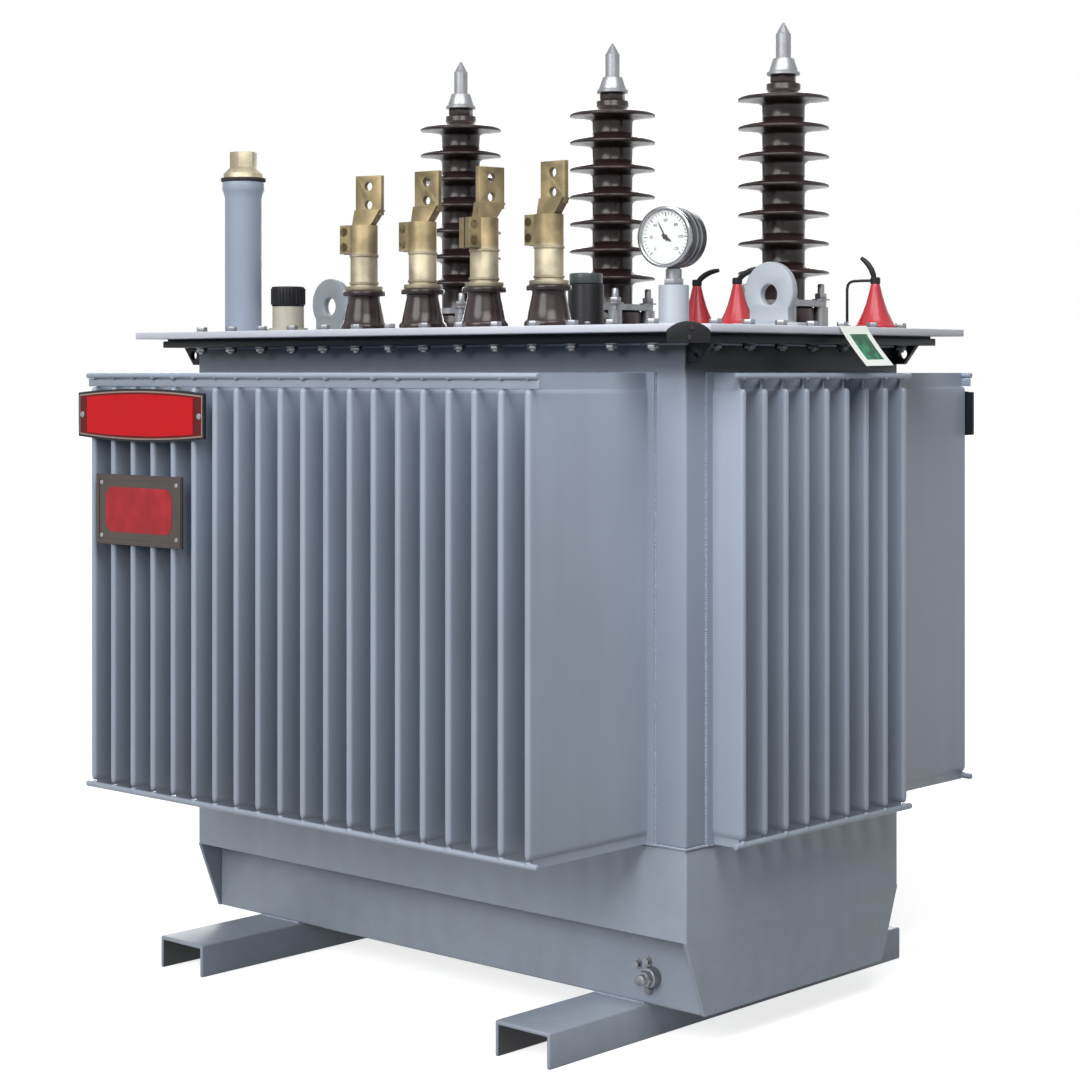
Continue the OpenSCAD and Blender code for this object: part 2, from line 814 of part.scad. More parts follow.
// Knob with a wire that reaches down to the cover beside the hood, and a leaning handle
module relief_lever(i) {
    handle_l = 36;
    handle_sunk = 3;
    wire_d = lever_d / 2;
    wire_z = valve_h + valve_knob_h / 2;
    color(black) {
        translate([0, 0, valve_h]) cylinder(r = valve_top_r, h = valve_knob_h);
        rotate([0, 0, wire_turns[i]]) {
            translate([0, 0, wire_z])
                rotate([0, -90, 0]) cylinder(d = wire_d, h = lever_arm + wire_d / 2);
            translate([-lever_arm, 0, 0]) cylinder(d = wire_d, h = wire_z);
        }
        translate([0, 0, valve_h + valve_knob_h - handle_sunk])
            rotate([0, -handle_leans[i], handle_turns[i]]) cylinder(d = lever_d, h = handle_l);
    }
}

module relief_levers()
    for (i = [0 : 2])
        translate([valve_at[i][0], valve_at[i][1], top_z]) relief_lever(i);

// Plate with bowed long edges, in front of the fin tips and facing -Y
module oval_plate() {
    bow_r = oval_plate_l * oval_plate_l / 8 / oval_plate_bow;
    color(red)
    translate([oval_plate_l / 2 - oval_plate_end, -fin_tip_y - seat_gap, fin_top_z - oval_plate_drop])
        rotate([90, 0, 0])
        linear_extrude(oval_plate_t)
        intersection() {
            square([oval_plate_l, oval_plate_h], center = true);
            translate([0, oval_plate_h / 2 - bow_r]) circle(r = bow_r, $fn = 720);
            translate([0, bow_r - oval_plate_h / 2]) circle(r = bow_r, $fn = 720);
        }
}

module front_oval_plate() oval_plate();
module back_oval_plate() rotate([0, 0, 180]) translate([back_plate_in, 0, 0]) oval_plate();

module rating_plate() {
    color(steel)
    translate([-oval_plate_end + rating_plate_inset, -fin_tip_y - seat_gap - rating_plate_t,
               fin_top_z - rating_plate_drop - rating_plate_h / 2])
        cube([rating_plate_l, rating_plate_t, rating_plate_h]);
}

left_skid();
right_skid();
tank_base();
base_end_plates();
tank_body();
front_fins();
back_fins();
left_fins();
right_fins();
front_rods();
back_rods();
left_rods();
right_rods();
tank_rim();
corner_lugs();
gasket();
cover_plate();
corner_bond();
earth_terminal();
left_lifting_eye();
right_lifting_eye();
hv_bushing(0);  // hv_bushing_1
hv_bushing(1);  // hv_bushing_2
hv_bushing(2);  // hv_bushing_3
hv_terminal_at(0);  // hv_terminal_1
hv_terminal_at(1);  // hv_terminal_2
hv_terminal_at(2);  // hv_terminal_3
hv_clamps();
lv_bushing(0);  // lv_bushing_1
lv_bushing(1);  // lv_bushing_2
lv_bushing(2);  // lv_bushing_3
lv_bushing(3);  // lv_bushing_4
lv_terminal_at(0);  // lv_terminal_1
lv_terminal_at(1);  // lv_terminal_2
lv_terminal_at(2);  // lv_terminal_3
lv_terminal_at(3);  // lv_terminal_4
filler_tube();
filler_cap();
test_pocket();
test_pocket_cap();
thermometer_pocket();
thermometer_case();
thermometer_bezel();
tap_changer();
tap_changer_knob();
relief_valve(0);  // relief_valve_1
relief_valve(1);  // relief_valve_2
relief_valve(2);  // relief_valve_3
relief_levers();
front_oval_plate();
back_oval_plate();
rating_plate();
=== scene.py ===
"""Finishes, fasteners, welds and a studio stage for an oil-filled power transformer.

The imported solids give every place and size. Lengths are in metres, +Z is up, and the origin is on
the floor between the skids. The low-voltage bushings and the plates are on the -Y side.
"""

import json
import math

import bmesh
import bpy
from bpy.props import FloatProperty, FloatVectorProperty, IntProperty, PointerProperty
from mathutils import Matrix, Vector


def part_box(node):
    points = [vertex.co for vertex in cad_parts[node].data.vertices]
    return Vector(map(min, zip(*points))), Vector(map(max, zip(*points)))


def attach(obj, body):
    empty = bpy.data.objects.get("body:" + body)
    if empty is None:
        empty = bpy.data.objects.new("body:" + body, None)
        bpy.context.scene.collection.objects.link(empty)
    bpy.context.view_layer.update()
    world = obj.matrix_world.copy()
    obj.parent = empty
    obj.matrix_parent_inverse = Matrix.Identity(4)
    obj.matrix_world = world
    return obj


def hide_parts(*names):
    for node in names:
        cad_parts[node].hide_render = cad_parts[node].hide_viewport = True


bl_info = {
    "name": "Power Transformer",
    "version": (1, 0, 0),
    "blender": (4, 5, 0),
    "location": "View3D > Sidebar > Transformer",
    "description": "Dresses an oil-filled power transformer and sets it on a studio stage",
    "category": "Add Mesh",
}

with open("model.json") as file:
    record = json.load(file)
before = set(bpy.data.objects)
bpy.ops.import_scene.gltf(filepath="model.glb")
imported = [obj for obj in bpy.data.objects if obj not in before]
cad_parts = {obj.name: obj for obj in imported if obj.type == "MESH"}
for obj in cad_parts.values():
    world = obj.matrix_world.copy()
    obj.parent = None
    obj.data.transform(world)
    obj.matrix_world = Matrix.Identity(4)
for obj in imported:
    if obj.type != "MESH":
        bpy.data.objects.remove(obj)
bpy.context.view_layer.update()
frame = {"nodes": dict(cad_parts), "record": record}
SLOTS = {entry["slot"] for entry in frame["record"]["materials"]}
SIDES = ("front", "back", "left", "right")
MM = 0.001
UPRIGHT = Matrix.Identity(4)
HEX_TURN = 1.05  # radians, about a sixth of a turn, after which a hexagon looks the same


def mm(*points):
    """Points written in millimetres, in metres."""
    return [tuple(value * MM for value in point) for point in points]


def screen(red, green, blue):
    """Scene-linear colour for a colour given in screen values from 0 to 255."""
    def linear(value):
        share = value / 255
        return share / 12.92 if share <= 0.04045 else ((share + 0.055) / 1.055) ** 2.4
    return linear(red), linear(green), linear(blue)


def shift(x=0.0, y=0.0, z=0.0):
    return Matrix.Translation((x, y, z))


def turn(degrees, axis="Z"):
    return Matrix.Rotation(math.radians(degrees), 4, axis)


def middle_of(node):
    low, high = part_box(node)
    return (low + high) / 2


def foot_of(node):
    """Frame at the middle of the foot of a node's box."""
    middle = middle_of(node)
    return shift(middle.x, middle.y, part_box(node)[0].z)


# Sizes and colours that a user would change


def colour_property(name, description, red, green, blue):
    return FloatVectorProperty(
        name=name, description=description, subtype="COLOR", size=3, min=0, max=1,
        default=screen(red, green, blue),
    )


def length_property(name, description, millimetres):
    return FloatProperty(
        name=name, description=description, unit="LENGTH", min=0, default=millimetres * MM,
    )


class TransformerSizes(bpy.types.PropertyGroup):
    """Sizes of the details that are added to the solids"""

    edge_round: length_property("Edge round", "Round on the edges of plates and castings", 1.2)
    fold_round: length_property("Fold round", "Round on the folds of the tank and the skids", 4)
    skid_wall: length_property("Skid wall", "Thickness of a skid's channel", 6)
    fin_pitch: length_property("Fin pitch", "Distance between two cooling fins", 45)
    fin_thickness: length_property("Fin thickness", "Thickness of a cooling fin", 10)
    fin_root: length_property("Fin root", "Round where a fin meets its sheet", 4)
    seam_thickness: length_property("Seam thickness", "Thickness of a fin's pressed ends", 4)
    top_seam: length_property("Top seam", "Height of a fin's pressed top", 20)
    foot_seam: length_property("Foot seam", "Height of a fin's pressed foot", 10)
    top_slope: length_property("Top slope", "Height over which a fin swells under its top seam", 6)
    foot_slope: length_property("Foot slope", "Height over which a fin swells over its foot seam", 9)
    rod_diameter: length_property("Rod diameter", "Diameter of the rods across the fin tips", 8)
    sheet_thickness: length_property("Sheet thickness", "Thickness of the sheet between fins", 3)
    weld_radius: length_property("Weld radius", "Radius of a weld bead", 2.1)
    weld_step: length_property("Weld step", "Distance between two ripples of a weld bead", 3)
    bolt_pitch: length_property("Bolt pitch", "Distance between two bolts of the cover", 68)
    bolt_inset: length_property("Bolt inset", "Distance of a cover bolt from the rim's edge", 14)
    bolt_radius: length_property("Bolt radius", "Radius of a cover bolt's thread", 5)
    turned_segments: IntProperty(
        name="Turned segments", description="Segments round a turned piece", default=64, min=16, max=128,
    )


class TransformerColours(bpy.types.PropertyGroup):
    """Colours of the finishes"""

    paint: colour_property("Paint", "Blue-grey paint of the tank", 146, 157, 173)
    cover: colour_property("Cover", "Paler paint of the cover", 200, 203, 213)
    eyes: colour_property("Eyes", "Grey paint of the lifting eyes and the gauge pocket", 152, 158, 165)
    # The rim's dark colour is partly its own dark paint and partly painted shadow of the cover above it
    rim: colour_property("Rim", "Dark paint of the rim under the cover", 34, 38, 45)
    porcelain: colour_property("Porcelain", "Brown glaze of the bushings", 37, 25, 25)
    brass: colour_property("Brass", "Brass of the low-voltage terminals", 142, 128, 97)
    pale_brass: colour_property("Pale brass", "Pale brass of the barrels and the filler's cap", 198, 188, 162)
    steel: colour_property("Steel", "Zinc-plated steel of the fasteners", 145, 147, 151)
    cream: colour_property("Cream", "Cream plastic of the test pocket", 160, 155, 142)
    black: colour_property("Black", "Black plastic", 24, 25, 28)
    rubber: colour_property("Rubber", "Rubber of the gasket", 22, 22, 24)
    case: colour_property("Case", "Grey case of the thermometer", 60, 67, 68)
    dial: colour_property("Dial", "Face of the thermometer", 253, 254, 255)
    hood: colour_property("Hood", "Red hoods of the relief valves", 166, 48, 56)
    enamel: colour_property("Enamel", "Red enamel of the plates", 200, 26, 32)
    enamel_edge: colour_property("Enamel edge", "Dark border of the plates", 92, 22, 28)
    enamel_line: colour_property("Enamel line", "Thin line round the oval plates", 160, 132, 122)
    plate: colour_property("Plate", "Metal of the rating plate", 76, 67, 64)
    panel: colour_property("Panel", "Faded red panel of the rating plate", 176, 52, 58)
    paper: colour_property("Paper", "Paper of the tag", 236, 240, 234)
    print_green: colour_property("Print", "Green field on the tag", 30, 104, 72)
    floor: colour_property("Floor", "Studio floor", 205, 205, 205)


def sizes():
    return bpy.context.scene.transformer_sizes


def shade(colour, factor):
    return tuple(min(1.0, channel * factor) for channel in colour)


def tint(name, factor=1.0):
    """One of the colours above, made darker or paler by a factor."""
    return shade(getattr(bpy.context.scene.transformer_colours, name), factor)


# Node trees


class Link:
    """A socket of a node tree that can stand in a sum, a difference or a product."""

    def __init__(self, graph, socket):
        self.graph = graph
        self.socket = socket

    def __add__(self, other):
        return self.graph.math("ADD", self, other)

    __radd__ = __add__

    def __mul__(self, other):
        return self.graph.math("MULTIPLY", self, other)

    __rmul__ = __mul__

    def __sub__(self, other):
        return self.graph.math("SUBTRACT", self, other)

    def __rsub__(self, other):
        return self.graph.math("SUBTRACT", other, self)

    def above(self, start, end):
        """0 below start, 1 above end and a smooth rise between them."""
        return self.graph.node(
            "ShaderNodeMapRange", {"interpolation_type": "SMOOTHSTEP"},
            {"Value": self, "From Min": start, "From Max": end},
        )


class Graph:
    """A node tree that is built by calls."""

    def __init__(self, tree):
        self.tree = tree
        tree.nodes.clear()

    def node(self, kind, settings=None, inputs=None, output=0):
        """Adds a node: its settings first, then the values or links of its sockets."""
        made = self.tree.nodes.new(kind)
        for name, value in (settings or {}).items():
            setattr(made, name, value)
        for name, value in (inputs or {}).items():
            if isinstance(value, Link):
                self.tree.links.new(value.socket, made.inputs[name])
            else:
                made.inputs[name].default_value = value
        return Link(self, made.outputs[output]) if made.outputs else made

    def math(self, operation, first, second=0.0):
        return self.node("ShaderNodeMath", {"operation": operation}, {0: first, 1: second})

    def place(self, *stretch):
        """Object coordinates, stretched along each axis where that is given."""
        place = self.node("ShaderNodeTexCoord", output="Object")
        if not stretch:
            return place
        return self.node("ShaderNodeVectorMath", {"operation": "MULTIPLY"}, {0: place, 1: stretch})

    def noise(self, place, scale, detail):
        return self.node("ShaderNodeTexNoise", inputs={"Vector": place, "Scale": scale, "Detail": detail})

    def height(self, place):
        return self.node("ShaderNodeSeparateXYZ", inputs={0: place}, output="Z")

    def off_middle(self, place):
        """Distance from the plane that parts the left half from the right half."""
        return self.math("ABSOLUTE", self.node("ShaderNodeSeparateXYZ", inputs={0: place}, output="X"))

    def mix(self, factor, first, second, blend="MIX"):
        """Blend of two colours. A plain number stands for a grey."""
        def colour(value):
            if isinstance(value, Link):
                return value
            return (*value, 1.0) if isinstance(value, tuple) else (value, value, value, 1.0)
        return self.node(
            "ShaderNodeMix", {"data_type": "RGBA", "blend_type": blend},
            {0: factor, 6: colour(first), 7: colour(second)}, output=2,
        )

    def surface(self, colour, roughness, metallic=0.0, height=None, depth=0.2 * MM, **fixed):
        """Ends the tree in a shader. The fixed values go on the shader's own sockets."""
        inputs = {
            "Base Color": colour if isinstance(colour, Link) else (*colour, 1.0),
            "Roughness": roughness,
            "Metallic": metallic,
        }
        for name, value in fixed.items():
            inputs[name.replace("_", " ").title().replace("Ior", "IOR")] = value
        if height is not None:
            bump = {"Distance": depth, "Height": height}
            inputs["Normal"] = self.node("ShaderNodeBump", inputs=bump, output="Normal")
        shader = self.node("ShaderNodeBsdfPrincipled", inputs=inputs)
        self.node("ShaderNodeOutputMaterial", inputs={"Surface": shader})


# Finishes


def satin_paint(graph, colour, fade_and_painted_shade=0.0, painted_shade_colour=(0, 0, 0), shine=0.5):
    """Sprayed satin paint with orange peel, faint runs and dust that settles low down.

    The painted shade share, a value or a link, shows another colour there: painted shade.
    """
    dust = (0.17, 0.18, 0.18)
    place = graph.place()
    broad = graph.noise(place, 2.6, 3)
    runs = graph.noise(graph.place(26, 26, 1.4), 1.0, 2)
    peel = graph.noise(place, 420, 1)
    grain = graph.noise(place, 34, 3)
    low = 1 - graph.height(place).above(0.08, 0.5)
    tone = (broad * 0.7 + runs * 0.3).above(0.3, 0.7)
    base = graph.mix(tone, shade(colour, 0.9), shade(colour, 1.08))
    dusty = graph.mix(low * (0.2 + 0.14 * grain.above(0.25, 0.75)), base, dust)
    graph.surface(
        graph.mix(fade_and_painted_shade, dusty, painted_shade_colour), 0.4 + 0.16 * broad + 0.1 * low,
        height=peel + 0.3 * broad, depth=0.1 * MM,
        coat_weight=0.3 * shine, coat_roughness=0.25, coat_ior=1.45, specular_ior_level=shine,
    )


def body_paint(graph):
    """Tank paint with painted shadow of the cover on the collar under it, darker still at the ends."""
    place = graph.place()
    fin_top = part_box("front_fins")[1].z
    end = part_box("tank_body")[1].x
    at_end = graph.off_middle(place).above(end - 3 * MM, end - 1 * MM)
    # Band under the cover's overhang, darkened as painted shadow of the cover
    cover_shade_band = graph.height(place).above(fin_top - 14 * MM, fin_top + 10 * MM)
    satin_paint(graph, tint("paint"), cover_shade_band * (0.5 + 0.47 * at_end), tint("rim", 0.5), 0.25)


def skid_paint(graph):
    """Tank paint outside a skid, and painted shade in a dark colour inside it."""
    place = graph.place()
    low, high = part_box("right_skid")
    skin, blur = sizes().skid_wall - 0.5 * MM, 0.2 * MM
    across, height = graph.off_middle(place), graph.height(place)
    inner, outer, top = low.x + skin, high.x - skin, high.z - skin
    between = across.above(inner - blur, inner) * (1 - across.above(outer, outer + blur))
    # Inside the channel the paint turns dark: painted shade
    inside = between * (1 - height.above(top, top + blur))
    satin_paint(graph, tint("paint"), inside, tint("rim", 0.7))


def weld_paint(graph):
    """Paint over a weld bead, a little thicker than on the sheet."""
    ripple = graph.noise(graph.place(), 260, 2)
    base = graph.mix(ripple.above(0.35, 0.65), tint("paint", 0.85), tint("paint", 1.04))
    graph.surface(base, 0.42 + 0.1 * ripple, height=ripple, coat_weight=0.2, coat_roughness=0.3)


def rubber(graph):
    speck = graph.noise(graph.place(), 300, 3)
    base = graph.mix(speck, tint("rubber", 0.8), tint("rubber", 1.6))
    graph.surface(base, 0.72 + 0.12 * speck, height=speck, depth=0.15 * MM)


def glaze(graph):
    """Brown glaze with soft clouds, fine pinholes and a faint film of dust."""
    place = graph.place()
    cloud = graph.noise(place, 18, 4)
    pits = graph.noise(place, 700, 1)
    film = graph.noise(place, 60, 3)
    graph.surface(
        graph.mix(cloud.above(0.3, 0.7), tint("porcelain", 0.75), tint("porcelain", 1.35)),
        0.3 + 0.12 * film.above(0.4, 0.8), height=cloud + 0.15 * pits,
        coat_weight=0.36, coat_roughness=0.18, coat_ior=1.5, specular_ior_level=0.18,
    )


def dull_brass(graph, colour):
    """Cast and machined brass that has dulled in patches."""
    patch = graph.noise(graph.place(), 22, 4)
    cut = graph.noise(graph.place(30, 30, 900), 1.0, 2)
    dulled = graph.mix(1.0, colour, graph.mix(patch.above(0.34, 0.68), 0.55, 1.1), "MULTIPLY")
    graph.surface(dulled, 0.44 + 0.2 * patch, 0.85, height=cut + 0.6 * patch, depth=0.1 * MM)


def terminal_brass(graph):
    """Brass that is paler up to the clamp."""
    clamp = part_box("lv_bushing_1")[1].z + 54 * MM
    above_clamp = graph.height(graph.place()).above(clamp - 5 * MM, clamp + 5 * MM)
    dull_brass(graph, graph.mix(above_clamp, tint("pale_brass", 0.68), tint("brass")))


def zinc_steel(graph, painted_shade_share=0.0):
    """Zinc plating with a light bloom. The painted shade share, a value or a link, is nearly black: painted
    shade.
    """
    bloom = graph.noise(graph.place(), 55, 4)
    scratch = graph.noise(graph.place(60, 60, 1400), 1.0, 2)
    tone = graph.mix(bloom, tint("steel", 0.78), tint("steel", 1.12))
    graph.surface(
        graph.mix(painted_shade_share, tone, tint("rim", 0.8)), 0.3 + 0.2 * bloom, 0.85,
        height=scratch + bloom, depth=0.06 * MM,
    )


def bolt_steel(graph):
    """Zinc plating with painted shadow of the cover on the nuts under the ends of the cover."""
    place = graph.place()
    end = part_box("tank_rim")[1].x
    cover_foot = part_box("cover_plate")[0].z
    at_end = graph.off_middle(place).above(end - 45 * MM, end - 40 * MM)
    under = 1 - graph.height(place).above(cover_foot - 1 * MM, cover_foot)
    # Nuts under the cover at the ends turn nearly black: painted shadow of the cover
    zinc_steel(graph, 0.85 * at_end * under)


def bright_steel(graph):
    haze = graph.noise(graph.place(), 80, 3)
    graph.surface(tint("steel", 1.1), 0.1 + 0.14 * haze, 1.0, height=haze, depth=0.03 * MM)


def plate_metal(graph):
    """Bare sheet with a fine lengthwise brushing."""
    brushed = graph.noise(graph.place(20, 20, 1600), 1.0, 2)
    tone = graph.mix(graph.noise(graph.place(), 14, 3), tint("plate", 0.75), tint("plate", 1.25))
    graph.surface(tone, 0.36 + 0.2 * brushed, 0.5, height=brushed, depth=0.05 * MM)


def smooth_coat(graph, colour, roughness, coat=0.0, shine=0.4):
    """Plastic, enamel or smooth paint with a fine grain."""
    place = graph.place()
    fine = graph.noise(place, 520, 2)
    broad = graph.noise(place, 30, 3)
    graph.surface(
        graph.mix(broad, shade(colour, 0.9), shade(colour, 1.12)), roughness + 0.12 * broad,
        height=fine, depth=0.08 * MM, coat_weight=coat, coat_roughness=0.12, specular_ior_level=shine,
    )


def faded_panel(graph):
    """Red panel that has faded in patches."""
    place = graph.place()
    fade_and_painted_shade = graph.noise(place, 24, 3)
    tone = graph.mix(fade_and_painted_shade.above(0.3, 0.75), tint("panel", 0.75), tint("panel", 1.15))
    grain = graph.noise(place, 500, 2)
    graph.surface(tone, 0.42 + 0.1 * fade_and_painted_shade, height=grain, depth=0.06 * MM, specular_ior_level=0.15)


def clear_glass(graph):
    graph.surface((0.97, 0.99, 0.98), 0.02, transmission_weight=1.0, ior=1.45, coat_weight=0.3)


def paper(graph):
    fibre = graph.noise(graph.place(), 900, 3)
    tone = graph.mix(fibre, tint("paper", 0.94), tint("paper", 1.03))
    graph.surface(tone, 0.62, height=fibre, depth=0.05 * MM)


def green_print(graph):
    """Plain field of green ink with paler and darker passages."""
    wash = graph.noise(graph.place(), 60, 2).above(0.42, 0.6)
    graph.surface(graph.mix(wash, tint("print_green", 0.55), tint("print_green", 1.5)), 0.5)


FINISHES = {
    "tank_paint": lambda graph: satin_paint(graph, tint("paint")),
    "body_paint": body_paint,
    "skid_paint": skid_paint,
    "eye_paint": lambda graph: satin_paint(graph, tint("eyes")),
    "cover_paint": lambda graph: satin_paint(graph, tint("cover")),
    "rim_paint": lambda graph: satin_paint(graph, tint("rim"), shine=0.15),
    "weld_paint": weld_paint,
    "gasket_rubber": rubber,
    "brown_porcelain": glaze,
    "brass": lambda graph: dull_brass(graph, tint("brass")),
    "pale_brass": lambda graph: dull_brass(graph, tint("pale_brass")),
    "terminal_brass": terminal_brass,
    "zinc_steel": zinc_steel,
    "bolt_steel": bolt_steel,
    "bright_bezel": bright_steel,
    "plate_metal": plate_metal,
    "dark_metal": lambda graph: smooth_coat(graph, tint("porcelain", 1.3), 0.38),
    "cream_plastic": lambda graph: smooth_coat(graph, tint("cream"), 0.42),
    "black_plastic": lambda graph: smooth_coat(graph, tint("black"), 0.36, shine=0.22),
    "red_plastic": lambda graph: smooth_coat(graph, tint("hood"), 0.26, 0.15, 0.25),
    "gauge_grey": lambda graph: smooth_coat(graph, tint("case"), 0.36, 0.1),
    "dial_face": lambda graph: smooth_coat(graph, tint("dial"), 0.4),
    "red_enamel": lambda graph: smooth_coat(graph, tint("enamel"), 0.34, shine=0.12),
    "enamel_edge": lambda graph: smooth_coat(graph, tint("enamel_edge"), 0.36, shine=0.15),
    "enamel_line": lambda graph: smooth_coat(graph, tint("enamel_line"), 0.4),
    "faded_panel": faded_panel,
    "clear_glass": clear_glass,
    "paper": paper,
    "green_print": green_print,
}


def finish(name):
    """The material of that name, made when it is first asked for."""
    title = name.replace("_", " ").capitalize()
    found = bpy.data.materials.get(title)
    if found:
        return found
    made = bpy.data.materials.new(title)
    made.use_nodes = True
    FINISHES[name](Graph(made.node_tree))
    return made


# Mesh making


def ring(radius, count, start=0.0):
    """Corners of a regular outline."""
    angles = (start + math.tau * i / count for i in range(count))
    return [(radius * math.cos(angle), radius * math.sin(angle)) for angle in angles]


class Form:
    """A mesh under construction. Each call adds a closed shape."""

    def __init__(self, node=None):
        self.bm = bmesh.new()
        if node:
            self.bm.from_mesh(frame["nodes"][node].data)
            bmesh.ops.remove_doubles(self.bm, verts=self.bm.verts, dist=2e-6)
            bmesh.ops.dissolve_limit(
                self.bm, angle_limit=math.radians(0.4), verts=self.bm.verts, edges=self.bm.edges,
            )

    def loft(self, loops, at=UPRIGHT):
        """Skin over loops of equal count, closed by a face at each end."""
        rows = [[self.bm.verts.new(at @ Vector(point)) for point in loop] for loop in loops]
        count = len(rows[0])
        for low, high in zip(rows, rows[1:]):
            for i in range(count):
                j = (i + 1) % count
                self.bm.faces.new((low[i], low[j], high[j], high[i]))
        self.bm.faces.new(rows[0][::-1])
        self.bm.faces.new(rows[-1])
        return self

    def prism(self, outline, low, high, at=UPRIGHT):
        """Outline in the XY plane, raised from low to high."""
        return self.loft([[(x, y, z) for x, y in outline] for z in (low, high)], at)

    def box(self, low, high, at=UPRIGHT):
        outline = [(low[0], low[1]), (high[0], low[1]), (high[0], high[1]), (low[0], high[1])]
        return self.prism(outline, low[2], high[2], at)

    def turned(self, profile, at=UPRIGHT, segments=None):
        """Solid of revolution about Z. The profile's (radius, height) points run from foot to top."""
        count = segments or sizes().turned_segments
        rows = []
        for radius, height in profile:
            corners = ring(radius, count) if radius > 1e-7 else [(0, 0)]
            rows.append([self.bm.verts.new(at @ Vector((x, y, height))) for x, y in corners])
        for low, high in zip(rows, rows[1:]):
            for i in range(count):
                j = (i + 1) % count
                corners = []
                for row, order in ((low, (i, j)), (high, (j, i))):
                    corners += [row[k % len(row)] for k in order] if len(row) > 1 else [row[0]]
                if len(set(corners)) > 2:
                    self.bm.faces.new(corners)
        for row, flip in ((rows[0], True), (rows[-1], False)):
            if len(row) > 1:
                self.bm.faces.new(row[::-1] if flip else row)
        return self

    def disc(self, radius, low, high, at=UPRIGHT, segments=None):
        """Plain cylinder, such as a washer."""
        return self.turned([(0, low), (radius, low), (radius, high), (0, high)], at, segments)

    def band(self, radius, cut, low, high, edge, at=UPRIGHT, segments=None):
        """Cylinder whose rims are cut off, by cut across and by edge along its axis."""
        inner = radius - cut
        return self.turned(
            [(0, low), (inner, low), (radius, low + edge), (radius, high - edge), (inner, high), (0, high)],
            at, segments,
        )

    def screw_head(self, radius, crown, top, at, segments):
        """Low head that narrows to its crown."""
        foot = top - 1.2 * MM
        return self.turned([(0, foot), (radius, foot), (crown, top - 0.1 * MM), (0, top)], at, segments)

    def hexagon(self, radius, low, high, at=UPRIGHT, spin=0.0):
        """Nut or bolt head with its corners turned off at both faces."""
        corners, face = ring(radius, 6, spin), ring(radius * 0.93, 6, spin)
        lip = min(radius * 0.12, (high - low) * 0.3)
        levels = ((face, low), (corners, low + lip), (corners, high - lip), (face, high))
        return self.loft([[(x, y, z) for x, y in outline] for outline, z in levels], at)

    def tube(self, path, radii, sides=12):
        """Round bar along a path, with a radius for each of its points and flat ends."""
        points = [Vector(point) for point in path]
        across = None
        loops = []
        for i, point in enumerate(points):
            ahead = points[min(i + 1, len(points) - 1)] - points[max(i - 1, 0)]
            ahead.normalize()
            if across is None:
                across = ahead.orthogonal()
            across = (across - ahead * across.dot(ahead)).normalized()
            side = ahead.cross(across)
            loops.append([point + across * x + side * y for x, y in ring(radii[i], sides)])
        return self.loft(loops)

    def add(self, mesh, at=UPRIGHT):
        """Copies a mesh in."""
        before = len(self.bm.verts)
        self.bm.from_mesh(mesh)
        self.bm.verts.ensure_lookup_table()
        for vert in self.bm.verts[before:]:
            vert.co = at @ vert.co
        return self

    def rounded(self, width, sharper_than=38, segments=2, joint=None):
        """Rounds the edges made so far that are sharper than an angle in degrees.

        A joint is a test on a point. An edge with both ends in it meets another piece and stays as it is.
        """
        limit = math.radians(sharper_than)
        edges = [e for e in self.bm.edges if e.is_manifold and e.calc_face_angle(0) > limit]
        if joint:
            edges = [e for e in edges if not all(joint(vert.co) for vert in e.verts)]
        bmesh.ops.bevel(
            self.bm, geom=edges, offset=width, segments=segments, profile=0.5, affect="EDGES",
            clamp_overlap=True,
        )
        return self

    def mesh(self, name, smooth_below=35):
        """The finished mesh, with its normals outwards. Sharper edges than an angle stay sharp."""
        bmesh.ops.remove_doubles(self.bm, verts=self.bm.verts, dist=1e-7)
        bmesh.ops.recalc_face_normals(self.bm, faces=self.bm.faces)
        made = bpy.data.meshes.new(name)
        self.bm.to_mesh(made)
        self.bm.free()
        made.polygons.foreach_set("use_smooth", [True] * len(made.polygons))
        made.set_sharp_from_angle(angle=math.radians(smooth_below))
        return made

    def piece(self, name, finish_name, stands_for=(), slot=None, smooth_below=35):
        return place_piece(name, self.mesh(name, smooth_below), finish_name, stands_for, slot)


def link(name, data):
    """Object in the scene that shows some data."""
    made = bpy.data.objects.new(name, data)
    bpy.context.scene.collection.objects.link(made)
    return made


def place_piece(name, mesh, finish_name, stands_for=(), slot=None):
    """Puts a mesh in the scene as a piece of the transformer."""
    mesh.materials.clear()
    mesh.materials.append(finish(finish_name))
    made = link(name, mesh)
    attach(made, "root")
    known = slot or finish_name
    known in SLOTS
    if stands_for:
        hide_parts(*stands_for)
    return made


def soften(node, finish_name, width=None, slot=None, segments=2, joint=None):
    """Stands a copy of a solid with rounded edges in its place."""
    width = sizes().edge_round if width is None else width
    form = Form(node).rounded(width, segments=segments, joint=joint)
    return form.piece(f"{node}_skin", finish_name, (node,), slot)


def plain_mesh(holder):
    """Mesh of an object as it is shown. The object is removed."""
    depsgraph = bpy.context.evaluated_depsgraph_get()
    made = bpy.data.meshes.new_from_object(holder.evaluated_get(depsgraph), depsgraph=depsgraph)
    holder.modifiers.clear()
    bpy.data.objects.remove(holder)
    return made


# Repeats


def started_tree(name, inputs):
    """New Geometry Nodes tree with named inputs, as its graph and the inputs' links."""
    tree = bpy.data.node_groups.new(name, "GeometryNodeTree")
    for title, kind in inputs.items():
        tree.interface.new_socket(title, in_out="INPUT", socket_type=f"NodeSocket{kind}")
    tree.interface.new_socket("Mesh", in_out="OUTPUT", socket_type="NodeSocketGeometry")
    graph = Graph(tree)
    entry = tree.nodes.new("NodeGroupInput")
    return graph, {socket.name: Link(graph, socket) for socket in entry.outputs if socket.name}


